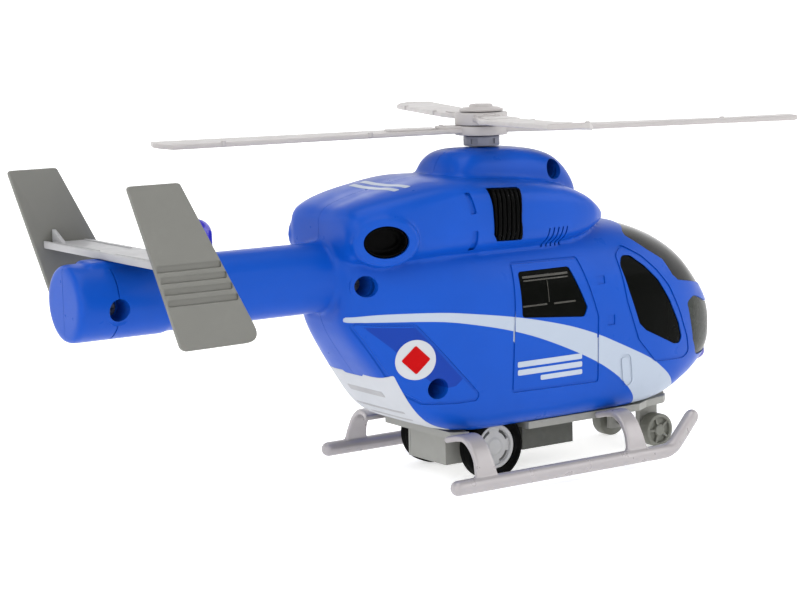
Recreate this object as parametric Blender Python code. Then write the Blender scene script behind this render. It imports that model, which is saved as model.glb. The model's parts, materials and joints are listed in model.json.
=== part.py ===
"""Toy rescue helicopter with a friction drive, built piece by piece.

Lengths below are millimetres and become metres in add_node. The nose looks along -Y, up is +Z,
and starboard is -X. Y is counted from the rotor axis, then every piece moves by CENTRE_SHIFT.
"""

import math

import bmesh
import bpy
import numpy as np
from mathutils import Matrix, Vector

MM = 0.001
CENTRE_SHIFT = -25.4
GAP = 0.15
FIT = 0.3
WALL = 2.0
BOOM_WALL = 1.6
SEAM = 0.15
SHARP_ANGLE = math.radians(32)
STARBOARD = -1
PORT = 1
SIDE_NAMES = {STARBOARD: "starboard", PORT: "port"}

# Fuselage: y, bottom z, top z, half width, roundness exponent of the top and of the bottom.
FUSELAGE = (
    (-92.0, 35.4, 40.5, 2.4, 2.7, 2.6),
    (-91.0, 33.0, 45.0, 6.5, 2.7, 2.8),
    (-88.6, 30.2, 50.2, 10.8, 2.7, 3.0),
    (-84.4, 27.4, 55.6, 15.0, 2.7, 3.2),
    (-77.4, 24.0, 63.6, 19.2, 2.7, 3.6),
    (-70.0, 21.4, 70.0, 22.3, 2.7, 4.2),
    (-60.0, 19.4, 75.4, 24.8, 2.7, 5.2),
    (-48.0, 18.4, 79.0, 26.3, 2.7, 6.4),
    (-30.0, 18.05, 80.6, 27.0, 2.7, 7.0),
    (0.0, 18.05, 81.0, 27.0, 2.7, 7.0),
    (20.0, 18.2, 81.0, 26.4, 2.7, 7.0),
    (33.0, 19.4, 81.0, 24.8, 2.7, 6.4),
    (41.0, 23.8, 80.9, 23.0, 2.7, 5.6),
    (49.0, 33.5, 80.7, 20.6, 2.7, 5.0),
    (56.0, 43.0, 80.4, 17.8, 2.7, 4.6),
    (61.0, 50.6, 80.0, 14.6, 2.7, 4.6),
    (63.4, 56.0, 79.4, 11.8, 2.7, 4.6),
)
FUSELAGE_STATIONS = 21
FUSELAGE_SEGMENTS = 28

# Engine cowling over the cabin roof, same columns.
COWLING = (
    (-40.5, 80.6, 82.4, 9.0, 4.0, 3.2),
    (-37.0, 79.6, 84.2, 16.0, 4.0, 3.2),
    (-31.0, 77.2, 88.2, 21.2, 4.0, 3.2),
    (-26.0, 75.2, 91.2, 23.4, 4.0, 3.2),
    (-18.0, 73.6, 94.0, 25.0, 4.0, 3.2),
    (-5.0, 72.8, 96.2, 26.2, 4.0, 3.2),
    (12.0, 72.6, 97.6, 26.4, 4.0, 3.2),
    (28.0, 72.4, 98.2, 25.6, 4.0, 3.2),
    (42.0, 72.4, 96.2, 24.2, 4.2, 3.4),
    (53.0, 72.8, 93.8, 22.0, 4.6, 4.0),
    (60.0, 73.8, 91.4, 19.6, 4.6, 4.6),
    (62.4, 75.2, 89.4, 17.8, 4.4, 4.6),
    (63.2, 77.4, 87.2, 15.6, 4.2, 4.6),
)
COWLING_STATIONS = 13
COWLING_SEGMENTS = 24

# Mast fairing on top of the cowling, same columns.
FAIRING = (
    (-34.6, 84.0, 90.2, 4.8, 2.8, 4.0),
    (-31.0, 84.0, 95.4, 8.8, 2.8, 4.0),
    (-25.8, 84.0, 100.8, 11.4, 2.9, 4.0),
    (-19.6, 84.0, 104.0, 13.0, 3.0, 4.0),
    (-8.0, 84.0, 105.8, 14.0, 3.0, 4.0),
    (6.0, 84.0, 106.0, 14.2, 3.2, 4.0),
    (12.0, 84.0, 105.7, 13.9, 3.4, 4.0),
    (16.0, 84.0, 104.2, 13.2, 3.4, 4.0),
    (18.6, 84.0, 101.0, 12.3, 3.4, 4.0),
    (20.2, 84.0, 95.0, 11.2, 3.4, 4.0),
)
FAIRING_STATIONS = 10
VALLEY_DEPTH = 0.7
VALLEY_HALF_WIDTH = 8.0
VALLEY_Y = (16.0, 40.0)
FAIRING_SEGMENTS = 20

BOOM_Z = 69.0
BOOM_RADIUS = 11.0
BOOM_START = 52.0
CAN_START = 119.6
CAN_END = 150.4
CAN_RADIUS = 11.5
CAN_ROUNDING = 1.6
CAN_STEP = 0.6
BOOM_SEGMENTS = 28

PYLON_Y = (122.5, 143.5)
PYLON_HALF_WIDTH = 5.0
PYLON_TOP = 81.0
TAILPLANE_TOP = 82.8
TAILPLANE_HALF_SPAN = 38.2
TAILPLANE_Y = (122.5, 138.4)
TAILPLANE_PEG_RADIUS = 1.6
TAILPLANE_PEG_LENGTH = 5.0
FIN_INNER_X = 38.6
FIN_THICKNESS = 2.0
FIN_OUTLINE = (
    (148.6, 105.4),
    (132.6, 105.4),
    (110.2, 63.0),
    (109.6, 60.6),
    (111.4, 58.8),
    (132.4, 58.3),
    (134.0, 59.4),
)
FIN_GROOVES_Z = (72.2, 75.5, 78.8, 82.0)
FIN_GROOVE_DEPTH = 0.6
FIN_GROOVE_HEIGHT = 1.7
FIN_GROOVE_MARGIN = 0.8
FIN_SOCKET_DEPTH = 0.9
# Width and height of the raised lip along the tailplane's rear edge.
TAILPLANE_LIP = (0.9, 0.6)
TONGUE_MARGIN = 4.0

# Window outlines seen from the side: y, z.
CABIN_WINDOW = ((4.8, 67.5), (-15.8, 67.5), (-21.8, 53.8), (-20.4, 50.8), (4.8, 53.0))
DOOR_WINDOW = (
    (-37.2, 66.0),
    (-38.8, 69.0),
    (-42.8, 68.6),
    (-48.1, 64.8),
    (-53.7, 59.6),
    (-58.6, 52.6),
    (-63.4, 44.0),
    (-65.0, 39.0),
    (-63.6, 37.0),
    (-60.6, 37.2),
    (-47.0, 43.4),
    (-44.0, 46.0),
    (-40.0, 56.5),
)
WINDSHIELD = (
    (-50.5, 82.0),
    (-47.7, 77.4),
    (-45.0, 75.8),
    (-44.8, 74.6),
    (-51.3, 69.8),
    (-58.0, 65.8),
    (-61.4, 60.4),
    (-64.0, 58.4),
    (-74.0, 56.6),
    (-87.5, 53.4),
    (-97.0, 54.5),
    (-97.0, 92.0),
    (-50.5, 92.0),
)
# Chin window seen from the front: distance from the centre plane, z.
CHIN_WINDOW = (
    (22.8, 50.4),
    (21.0, 52.4),
    (15.6, 48.8),
    (3.4, 46.4),
    (2.0, 38.0),
    (4.6, 33.4),
    (13.0, 31.0),
    (19.8, 31.0),
    (21.6, 37.0),
)
CHIN_TOOL_Y = (-110.0, -66.0)
SIDE_TOOL_X = (12.0, 40.0)
GLASS_SINK = 0.4
GLASS_THICKNESS = 1.2
GLASS_GAP = 0.3

INTAKE_OUTLINE = (
    (16.2, 94.9),
    (3.4, 94.4),
    (3.9, 90.0),
    (4.1, 84.0),
    (3.2, 77.6),
    (12.8, 77.9),
    (14.7, 80.2),
    (15.3, 89.2),
)
INTAKE_PROUD = 0.6
INTAKE_DEPTH = 1.0
INTAKE_RIBS = 7
INTAKE_SLOT_WIDTH = 0.7
INTAKE_SLOT_DEPTH = 0.9
INTAKE_SLOT_Z = (79.0, 93.6)

EXHAUST_CENTRE = (21.6, 52.8, 80.8)
EXHAUST_HEADING = math.radians(20)
EXHAUST_HALF = (7.0, 4.8)
EXHAUST_LIP = (10.8, 7.9)
EXHAUST_LIP_PROUD = 1.4
EXHAUST_LIP_ROOT = 5.0
EXHAUST_DEPTH = 6.0
EXHAUST_WALL = 1.0
EXHAUST_SEGMENTS = 22

# Shell screws: y, z, outer face of the screw head, and boss length each side of the seam.
SHELL_SCREWS = ((57.0, 67.0, -9.6), (36.0, 33.6, -16.0), (138.4, 67.3, -4.6), (-19.8, 98.0, -6.0))
SCREW_HEAD_RADIUS = 2.6
SCREW_HEAD_HEIGHT = 1.6
SCREW_SHANK_RADIUS = 1.2
SCREW_LENGTH = 9.0
SCREW_SLOT_DEPTH = 0.7
SCREW_POINT = 1.0
SCREW_SLOT_HALF_WIDTH = 0.35
RECESS_RADIUS = 3.3
BOSS_RADIUS = 4.6
# How far a boss runs from the seam: on the boom, on the mast fairing, high and low on the cabin.
BOSS_REACH = {"fairing": 8.6, "high": 15.6, "low": 22.6}
BOSS_SINK = 0.8

MAST_BOSS_RADIUS = 4.4
MAST_BOSS_Z = (92.0, 105.0)
SHAFT_RADIUS = 1.5
SHAFT_Z = (89.0, 117.2)
SHAFT_STOP_RADIUS = 3.2
SHAFT_STOP_Z = (89.6, 91.4)
COLLAR_RADIUS = 5.9
COLLAR_Z = (106.4, 109.5)
COLLAR_SLOTS = 6
# Depth, half width and distance from the top and bottom edge of one collar slot.
COLLAR_SLOT = (0.7, 1.2, 0.7)
HUB_RADIUS = 8.6
LOWER_DISC_Z = (109.9, 112.9)
UPPER_DISC_Z = (113.2, 117.2)
CAP_PROFILE = (
    (0.0, 117.5),
    (7.2, 117.5),
    (7.2, 118.4),
    (6.6, 118.8),
    (4.0, 118.8),
    (3.6, 119.8),
    (0.0, 119.8),
)
BLADE_TIP = 106.8
BLADE_CHORD = 14.5
BLADE_NECK = 9.0
BLADE_ROOT_R = (11.6, 17.6, 26.6)
BLADE_THICKNESS = 1.5
BLADE_LOWER_Z = 111.4
BLADE_UPPER_Z = 115.2
GRIP_LENGTH = 24.0
GRIP_HALF_WIDTH = 3.4
GRIP_HEIGHT = 1.0
ROTOR_HEADING = math.radians(-22.4)

BASE_Z = (15.4, 17.75)
BASE_OUTLINE = (
    (-12.8, -67.0),
    (12.8, -67.0),
    (16.0, -63.4),
    (18.0, -54.0),
    (21.4, -48.0),
    (21.4, 24.0),
    (18.4, 28.0),
    (-18.4, 28.0),
    (-21.4, 24.0),
    (-21.4, -48.0),
    (-18.0, -54.0),
    (-16.0, -63.4),
)
BASE_NOSE = ((-12.4, 12.4), (-66.6, -56.6), (15.4, 18.5))
BELLY_OPENING = ((-19.0, 19.0), (-50.0, 26.0), (10.0, 26.0))
WHEEL_WELL = ((12.9, 24.0), (-1.2, 22.6), (10.0, 23.0))
WHEEL_WELL_DEPTH = 20.8
AXLE_LUG_X = (6.6, 8.8)
AXLE_LUG_Y = (-66.6, -58.8)
AXLE_LUG_BOTTOM = 3.4

REAR_AXLE = (10.7, 10.9)
REAR_AXLE_RADIUS = 1.2
REAR_AXLE_HALF = 18.4
TYRE_RADIUS = 10.9
TYRE_X = (13.6, 20.0)
TYRE_ROUNDING = 1.2
HUB_RIM_RADIUS = 7.3
HUB_X = (13.8, 19.4)
HUB_DISH = 0.8
HUB_BOSS_RADIUS = 2.6
HUB_BOSS_DROP = 0.4
HUB_SLOTS = 4
HUB_SLOT_RADII = (5.7, 4.7)
HUB_SLOT_STEP = math.radians(11)
WHEEL_SEGMENTS = 26
FRONT_AXLE = (-62.7, 5.7)
FRONT_AXLE_RADIUS = 1.0
FRONT_AXLE_HALF = 13.6
FRONT_WHEEL_RADIUS = 5.7
FRONT_WHEEL_X = (10.2, 15.0)
FRONT_WHEEL_EDGE = 0.4
FRONT_RIM_WIDTH = 1.3
FRONT_WHEEL_DISH = 1.2
FRONT_BOSS_RADIUS = 1.7
FRONT_SPOKES = 5
FRONT_SPOKE_HALF_WIDTH = 0.4

SKID_X = 37.4
SKID_Z = 4.7
SKID_RADIUS = 2.35
SKID_SEGMENTS = 12
SKID_PATH = ((41.0, 4.7), (-44.0, 4.7), (-47.4, 5.3), (-50.0, 7.4), (-58.2, 16.5))
STRUT_CENTRES_Y = (27.8, -33.0)
STRUT_HALF_WIDTH = 3.4
STRUT_THICKNESS = 2.0
STRUT_PATH = ((37.4, 5.2), (36.6, 9.0), (35.0, 13.0), (32.4, 16.2), (28.6, 17.9), (25.4, 17.2), (22.4, 15.4))

CASE_X = (-10.5, 10.5)
CASE_Y = (4.2, 24.2)
CASE_Z = (5.2, 28.0)
CASE_WALL = 1.0
PARTITION_X = (-1.0, 0.0)
GEAR_MODULE = 0.5
GEAR_BACKLASH = 0.16
AXLE_GEAR_TEETH = 16
IDLER_PINION_TEETH = 8
IDLER_WHEEL_TEETH = 14
FLYWHEEL_PINION_TEETH = 8
IDLER_BEARING = math.radians(25)
FLYWHEEL_BEARING = math.radians(95)
AXLE_GEAR_X = (-8.6, -6.0)
IDLER_WHEEL_X = (-5.4, -3.6)
IDLER_RADIUS = 0.8
FLYWHEEL_X = (1.4, 8.2)
FLYWHEEL_RADIUS = 6.8

BATTERY_X = (-14.0, 14.0)
BATTERY_Y = (-25.2, -4.2)
BATTERY_Z = (6.9, 21.4)
BATTERY_WALL = 1.2
BATTERY_DOOR_THICKNESS = 1.2
DOOR_GRIP_X = (-5.0, 5.0)
CELL_RADIUS = 5.5
CELL_LENGTH = 5.4
CELL_COUNT = 4
CELL_PITCH = 5.8
CELL_CROWN = 1.0
CONTACT_HALF_WIDTH = 2.4
CONTACT_THICKNESS = 0.5

SWITCH_X = 14.6
SWITCH_BODY_HALF_WIDTH = 3.0
SWITCH_BODY_Y = (-43.0, -33.0)
SWITCH_BODY_Z = (18.0, 22.3)
SWITCH_KNOB_Y = (-40.6, -37.8)
SWITCH_KNOB_HALF_WIDTH = 1.2
SWITCH_TRAVEL = 2.4
SWITCH_FOOT = 0.9

BOARD = ((-13.0, 13.0), (-50.0, -24.0), (30.0, 31.2))
SPEAKER_CENTRE_Y = -37.6
SPEAKER_RADIUS = 9.6
SPEAKER_Z = (18.0, 22.7)
MAGNET_RADIUS = 6.0
MAGNET_HEIGHT = 3.0
SOUND_HOLES = ((-4.0, 0.0), (0.0, 0.0), (4.0, 0.0), (0.0, -4.0), (0.0, 4.0))
SOUND_HOLE_RADIUS = 0.9
BEACON_Y = 106.4
BEACON_RADIUS = 5.0
BEACON_TOP = 90.6
NOSE_LIGHT_CENTRE = (0.0, -87.4, 29.2)
NOSE_LIGHT_HALF = (7.6, 5.0, 3.4)

COLOURS = {
    "abs_blue": ((0.018, 0.102, 0.60), 0.28),
    "glass_black": ((0.006, 0.006, 0.008), 0.08),
    "trim_black": ((0.012, 0.012, 0.013), 0.45),
    "rotor_grey": ((0.52, 0.50, 0.50), 0.42),
    "tail_grey": ((0.36, 0.36, 0.34), 0.42),
    "skid_grey": ((0.44, 0.41, 0.43), 0.35),
    "tyre_rubber": ((0.010, 0.010, 0.010), 0.70),
    "wheel_grey": ((0.45, 0.45, 0.44), 0.45),
    "box_grey": ((0.09, 0.095, 0.085), 0.55),
    "lens_violet": ((0.03, 0.02, 0.60), 0.12),
    "steel": ((0.55, 0.55, 0.56), 0.30),
    "gear_white": ((0.72, 0.72, 0.68), 0.45),
    "brass": ((0.62, 0.44, 0.16), 0.30),
    "board_green": ((0.02, 0.16, 0.06), 0.50),
}
METALS = ("steel", "brass")

materials = {}


def clear_scene():
    for obj in list(bpy.data.objects):
        bpy.data.objects.remove(obj, do_unlink=True)
    bpy.context.scene.unit_settings.scale_length = 1.0


def make_materials():
    for name, (colour, roughness) in COLOURS.items():
        material = bpy.data.materials.new(name)
        material.use_nodes = True
        shader = material.node_tree.nodes["Principled BSDF"]
        shader.inputs["Base Color"].default_value = (*colour, 1.0)
        shader.inputs["Roughness"].default_value = roughness
        shader.inputs["Metallic"].default_value = 1.0 if name in METALS else 0.0
        material.diffuse_color = (*colour, 1.0)
        materials[name] = material


def mesh_object(name, bm):
    """Turns a bmesh in millimetres into an object that still is in millimetres."""
    bmesh.ops.recalc_face_normals(bm, faces=bm.faces)
    if bm.calc_volume(signed=True) < 0:
        bmesh.ops.reverse_faces(bm, faces=bm.faces)
    mesh = bpy.data.meshes.new(name)
    bm.to_mesh(mesh)
    bm.free()
    obj = bpy.data.objects.new(name, mesh)
    bpy.context.scene.collection.objects.link(obj)
    return obj


def combine(target, tool, operation):
    """Applies a Boolean of target with tool and removes the tool."""
    modifier = target.modifiers.new(operation.title(), "BOOLEAN")
    modifier.operation = operation
    modifier.solver = "EXACT"
    modifier.object = tool
    graph = bpy.context.evaluated_depsgraph_get()
    result = bpy.data.meshes.new_from_object(target.evaluated_get(graph))
    target.modifiers.clear()
    old = target.data
    target.data = result
    bpy.data.meshes.remove(old)
    bpy.data.objects.remove(tool, do_unlink=True)
    return target


def cut(target, *tools):
    for tool in tools:
        combine(target, tool, "DIFFERENCE")
    return target


def join(target, *tools):
    for tool in tools:
        combine(target, tool, "UNION")
    return target


def keep(target, tool):
    return combine(target, tool, "INTERSECT")


def copy_of(obj):
    twin = obj.copy()
    twin.data = obj.data.copy()
    bpy.context.scene.collection.objects.link(twin)
    return twin


def mirrored(obj, name):
    """A copy on the other side of the centre plane."""
    twin = copy_of(obj)
    twin.name = name
    bm = bmesh.new()
    bm.from_mesh(twin.data)
    bmesh.ops.scale(bm, vec=(-1.0, 1.0, 1.0), verts=bm.verts)
    bmesh.ops.reverse_faces(bm, faces=bm.faces)
    bm.to_mesh(twin.data)
    bm.free()
    return twin


def tidy(obj):
    """Welds the tiny slivers a Boolean leaves and shades the round faces smooth."""
    bm = bmesh.new()
    bm.from_mesh(obj.data)
    bmesh.ops.remove_doubles(bm, verts=bm.verts, dist=0.004)
    bmesh.ops.dissolve_degenerate(bm, dist=0.002, edges=bm.edges)
    bmesh.ops.dissolve_limit(bm, angle_limit=math.radians(0.5), verts=bm.verts, edges=bm.edges)
    bmesh.ops.triangulate(bm, faces=bm.faces)
    bm.to_mesh(obj.data)
    bm.free()


def add_node(obj, name, material, origin=(0.0, 0.0, 0.0)):
    """Names the object, gives its material, scales it to metres and puts its origin on its axis."""
    obj.name = name
    obj.data.name = name
    tidy(obj)
    shift = Vector((0.0, CENTRE_SHIFT, 0.0))
    pivot = Vector(origin)
    obj.data.transform(Matrix.Scale(MM, 4) @ Matrix.Translation(-pivot))
    obj.location = (pivot + shift) * MM
    obj.data.materials.clear()
    obj.data.materials.append(materials[material])
    obj.data.shade_smooth()
    obj.data.set_sharp_from_angle(angle=SHARP_ANGLE)
    return obj


def box(x, y, z):
    bm = bmesh.new()
    bmesh.ops.create_cube(bm, size=1.0)
    size = (x[1] - x[0], y[1] - y[0], z[1] - z[0])
    middle = ((x[0] + x[1]) / 2, (y[0] + y[1]) / 2, (z[0] + z[1]) / 2)
    bmesh.ops.scale(bm, vec=size, verts=bm.verts)
    bmesh.ops.translate(bm, vec=middle, verts=bm.verts)
    return mesh_object("box", bm)


def bridged(rings):
    """A closed solid through rings of equally many points, with a flat cap on each end."""
    bm = bmesh.new()
    rows = [[bm.verts.new(point) for point in ring] for ring in rings]
    count = len(rows[0])
    for first, second in zip(rows, rows[1:]):
        for i in range(count):
            j = (i + 1) % count
            bm.faces.new((first[i], first[j], second[j], second[i]))
    bm.faces.new(rows[0])
    bm.faces.new(rows[-1])
    return bm


def prism(outline, axis, low, high):
    """Extrudes an outline of (a, b) pairs along an axis; a and b are the other two axes in order."""
    rings = []
    for level in (low, high):
        if axis == "X":
            rings.append([(level, a, b) for a, b in outline])
        elif axis == "Y":
            rings.append([(a, level, b) for a, b in outline])
        else:
            rings.append([(a, b, level) for a, b in outline])
    return mesh_object("prism", bridged(rings))


def circle(radius, segments, centre=(0.0, 0.0), phase=0.0):
    angles = [2 * math.pi * (i + phase) / segments for i in range(segments)]
    return [(centre[0] + radius * math.cos(a), centre[1] + radius * math.sin(a)) for a in angles]


def cylinder(radius, axis, low, high, centre=(0.0, 0.0), segments=20):
    return prism(circle(radius, segments, centre), axis, low, high)


def revolved(profile, axis, centre, segments):
    """Spins a closed profile of (radius, offset) pairs; radius 0 lies on the axis."""
    bm = bmesh.new()
    rows = []
    for radius, offset in profile:
        if radius == 0.0:
            points = [(0.0, 0.0)]
        else:
            points = circle(radius, segments)
        row = []
        for a, b in points:
            if axis == "X":
                row.append(bm.verts.new((offset, centre[0] + a, centre[1] + b)))
            else:
                row.append(bm.verts.new((centre[0] + a, centre[1] + b, offset)))
        rows.append(row)
    closed = list(zip(rows, rows[1:] + rows[:1]))
    for first, second in closed:
        if len(first) == 1 and len(second) == 1:
            continue
        for i in range(segments):
            j = (i + 1) % segments
            if len(first) == 1:
                bm.faces.new((first[0], second[i], second[j]))
            elif len(second) == 1:
                bm.faces.new((first[i], first[j], second[0]))
            else:
                bm.faces.new((first[i], first[j], second[j], second[i]))
    return mesh_object("revolved", bm)


def shrunk(outline, amount):
    """Moves every side of a convex-ish outline inward by amount, or outward if it is negative."""
    points = [Vector(point) for point in outline]
    area = sum(p.x * q.y - q.x * p.y for p, q in zip(points, points[1:] + points[:1]))
    turn = 1.0 if area > 0 else -1.0
    result = []
    for i, point in enumerate(points):
        before = (point - points[i - 1]).normalized()
        after = (points[(i + 1) % len(points)] - point).normalized()
        first = Vector((-before.y, before.x)) * turn
        second = Vector((-after.y, after.x)) * turn
        bisector = (first + second).normalized()
        result.append(tuple(point + bisector * amount / max(0.35, bisector.dot(first))))
    return result


def smooth_rows(table, count):
    """Catmull-Rom rows between the rows of a table, spaced evenly along it."""
    rows = np.array(table, float)
    padded = np.vstack((2 * rows[0] - rows[1], rows, 2 * rows[-1] - rows[-2]))
    result = []
    for position in np.linspace(0.0, len(rows) - 1.0, count):
        index = min(int(position), len(rows) - 2)
        t = position - index
        p0, p1, p2, p3 = padded[index : index + 4]
        curve = 2 * p1 + (p2 - p0) * t + (2 * p0 - 5 * p1 + 4 * p2 - p3) * t**2
        result.append((curve + (3 * p1 - p0 - 3 * p2 + p3) * t**3) / 2)
    return result


def section(row, segments, inset):
    """One closed cross-section: superellipse quarters with their own roundness above and below."""
    y, bottom, top, half, round_top, round_bottom = row
    middle = (bottom + top) / 2
    half = max(half - inset, 0.6)
    up = max(top - middle - inset, 0.6)
    down = max(middle - bottom - inset, 0.6)
    ring = []
    for i in range(segments):
        angle = 2 * math.pi * (i + 0.5) / segments
        c, s = math.cos(angle), math.sin(angle)
        power = 2.0 / (round_top if s > 0 else round_bottom)
        x = half * math.copysign(abs(c) ** power, c)
        z = (up if s > 0 else down) * math.copysign(abs(s) ** power, s)
        ring.append((x, y, middle + z))
    return ring


def loft_rings(table, count, segments, inset):
    rows = smooth_rows(table, count)
    if inset > 0.0:
        low, high = rows[0][0] + 2 * inset, rows[-1][0] - inset
        rows = [row for row in rows if low < row[0] < high]
    return [section(row, segments, inset) for row in rows]


def fuselage(inset=0.0, coarse=1.0):
    count = int(FUSELAGE_STATIONS * coarse)
    rings = loft_rings(FUSELAGE, count, int(FUSELAGE_SEGMENTS * coarse), inset)
    return mesh_object("fuselage", bridged(rings))


def cowling(inset=0.0):
    """The engine cowling, with a shallow valley along the top of its rear half."""
    start, end = VALLEY_Y
    result = []
    for ring in loft_rings(COWLING, COWLING_STATIONS, COWLING_SEGMENTS, inset):
        along = min(1.0, max(0.0, (ring[0][1] - start) / (end - start)))
        depth = VALLEY_DEPTH * along * along * (3 - 2 * along)
        middle = (ring[0][2] + ring[len(ring) // 2][2]) / 2
        dipped = []
        for x, y, z in ring:
            dip = depth * math.exp(-((x / VALLEY_HALF_WIDTH) ** 2)) if z > middle else 0.0
            dipped.append((x, y, z - dip))
        result.append(dipped)
    return mesh_object("cowling", bridged(result))


def fairing(inset=0.0):
    rings = loft_rings(FAIRING, FAIRING_STATIONS, FAIRING_SEGMENTS, inset)
    return mesh_object("fairing", bridged(rings))


def boom(inset=0.0):
    """The round tail boom with the fatter can on its end."""
    end = CAN_END - inset
    profile = (
        (BOOM_RADIUS - inset, BOOM_START),
        (BOOM_RADIUS - inset, CAN_START),
        (CAN_RADIUS - inset, CAN_START + CAN_STEP),
        (CAN_RADIUS - inset, end - CAN_ROUNDING),
        (CAN_RADIUS - inset - CAN_ROUNDING * 0.3, end - CAN_ROUNDING * 0.3),
        (CAN_RADIUS - inset - CAN_ROUNDING, end),
    )
    rows = []
    for radius, y in profile:
        ring = circle(radius, BOOM_SEGMENTS, (0.0, BOOM_Z), 0.5)
        rows.append([(x, y, z) for x, z in ring])
    return mesh_object("boom", bridged(rows))


def exhaust_prism(half, inner, outer, segments=EXHAUST_SEGMENTS):
    """An oval prism along the starboard exhaust axis; inner and outer are distances from its centre."""
    cx, cy, cz = EXHAUST_CENTRE
    along = Vector((-math.cos(EXHAUST_HEADING), math.sin(EXHAUST_HEADING), 0.0))
    across = Vector((math.sin(EXHAUST_HEADING), math.cos(EXHAUST_HEADING), 0.0))
    centre = Vector((-cx, cy, cz))
    rings = []
    for distance in (inner, outer):
        ring = []
        for a, b in circle(1.0, segments):
            ring.append(centre + along * distance + across * a * half[0] + Vector((0, 0, b * half[1])))
        rings.append(ring)
    return mesh_object("exhaust", bridged(rings))


def grown(half, amount):
    return tuple(value + amount for value in half)


def grown_span(span, amount):
    return (span[0] - amount, span[1] + amount)


def whole_shell():
    """Both halves of the airframe in one piece, hollow, before any opening is cut."""
    outside = fuselage()
    join(outside, cowling(), fairing(), boom())
    y0, y1 = PYLON_Y
    join(outside, box((-PYLON_HALF_WIDTH, PYLON_HALF_WIDTH), (y0, y1), (BOOM_Z, PYLON_TOP)))
    lip = exhaust_prism(EXHAUST_LIP, -EXHAUST_LIP_ROOT, EXHAUST_LIP_PROUD)
    join(outside, mirrored(lip, "lip"), lip)
    inside = fuselage(WALL, 0.75)
    join(inside, cowling(WALL), fairing(WALL), boom(BOOM_WALL))
    return cut(outside, inside)


def side_openings(side):
    """Cutters for the windows, the exhaust and the intake on one side."""
    low, high = sorted(side * x for x in SIDE_TOOL_X)
    tools = [prism(outline, "X", low, high) for outline in (CABIN_WINDOW, DOOR_WINDOW, INTAKE_OUTLINE)]
    chin = [(side * x, z) for x, z in CHIN_WINDOW]
    tools.append(prism(chin, "Y", *CHIN_TOOL_Y))
    exhaust = exhaust_prism(grown(EXHAUST_HALF, FIT), -20.0, 10.0)
    if side == PORT:
        starboard = exhaust
        exhaust = mirrored(starboard, "exhaust")
        bpy.data.objects.remove(starboard, do_unlink=True)
    tools.append(exhaust)
    return tools


def shell_half(whole, side):
    """One airframe half with its screw bosses, recesses and openings."""
    inner, outer = sorted((side * SEAM, side * 60.0))
    half = keep(copy_of(whole), box((inner, outer), (-120.0, 170.0), (0.0, 130.0)))
    for y, z, head in SHELL_SCREWS:
        boss_low, boss_high = sorted((side * SEAM, side * boss_reach(y, z)))
        boss = cylinder(BOSS_RADIUS, "X", boss_low, boss_high, (y, z), 20)
        if z > MAST_BOSS_Z[0]:
            keep(boss, fairing(BOSS_SINK))
        join(half, boss)
        if side == STARBOARD:
            cut(half, cylinder(RECESS_RADIUS, "X", -40.0, head + SCREW_HEAD_HEIGHT + GAP, (y, z), 20))
            cut(half, cylinder(SCREW_SHANK_RADIUS + FIT, "X", -40.0, 1.0, (y, z), 14))
        else:
            hole = head + SCREW_HEAD_HEIGHT + SCREW_LENGTH + 2 * FIT
            cut(half, cylinder(SCREW_SHANK_RADIUS + FIT, "X", -1.0, max(hole, 2.0), (y, z), 14))
    mast_low, mast_high = MAST_BOSS_Z
    tube = cylinder(MAST_BOSS_RADIUS, "Z", mast_low, mast_high, segments=24)
    join(half, keep(tube, box((inner, outer), (-20.0, 20.0), (0.0, 130.0))))
    cut(half, cylinder(SHAFT_RADIUS + FIT, "Z", 80.0, 120.0, segments=20))
    cut(half, box(*BELLY_OPENING), wheel_well(side, WHEEL_WELL_DEPTH), *side_openings(side))
    cut(half, prism(WINDSHIELD, "X", -40.0, 40.0))
    cut(half, ellipsoid(NOSE_LIGHT_CENTRE, grown(NOSE_LIGHT_HALF, FIT)))
    cut(half, cylinder(BEACON_RADIUS - 1.0, "Z", 76.0, 90.0, (0.0, BEACON_Y), 20))
    peg = TAILPLANE_PEG_RADIUS + FIT
    for y in peg_positions():
        cut(half, cylinder(peg, "Z", PYLON_TOP - TAILPLANE_PEG_LENGTH - FIT, 90.0, (0.0, y), 16))
    return half


def wheel_well(side, outer):
    """Room for one rear wheel, from its inner face out to the given distance."""
    x, y, z = WHEEL_WELL
    return box(tuple(sorted((side * x[0], side * outer))), y, z)


def boss_reach(y, z):
    """How far a boss runs so that it ends inside the wall and not outside the shell."""
    if y > CAN_START:
        return math.sqrt(BOOM_RADIUS**2 - (z - BOOM_Z) ** 2) - BOSS_SINK
    if z > MAST_BOSS_Z[0]:
        return BOSS_REACH["fairing"]
    return BOSS_REACH["high" if z > BOOM_Z - BOOM_RADIUS else "low"]


def peg_positions():
    y0, y1 = TAILPLANE_Y
    return (y0 + 5.0, y1 - 5.0)


def ellipsoid(centre, half, segments=20, rings=10):
    bm = bmesh.new()
    bmesh.ops.create_uvsphere(bm, u_segments=segments, v_segments=rings, radius=1.0)
    bmesh.ops.scale(bm, vec=half, verts=bm.verts)
    bmesh.ops.translate(bm, vec=centre, verts=bm.verts)
    return mesh_object("ellipsoid", bm)


def build_shell():
    whole = whole_shell()
    for side in (STARBOARD, PORT):
        add_node(shell_half(whole, side), f"shell_{SIDE_NAMES[side]}", "abs_blue")
    bpy.data.objects.remove(whole, do_unlink=True)


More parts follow.
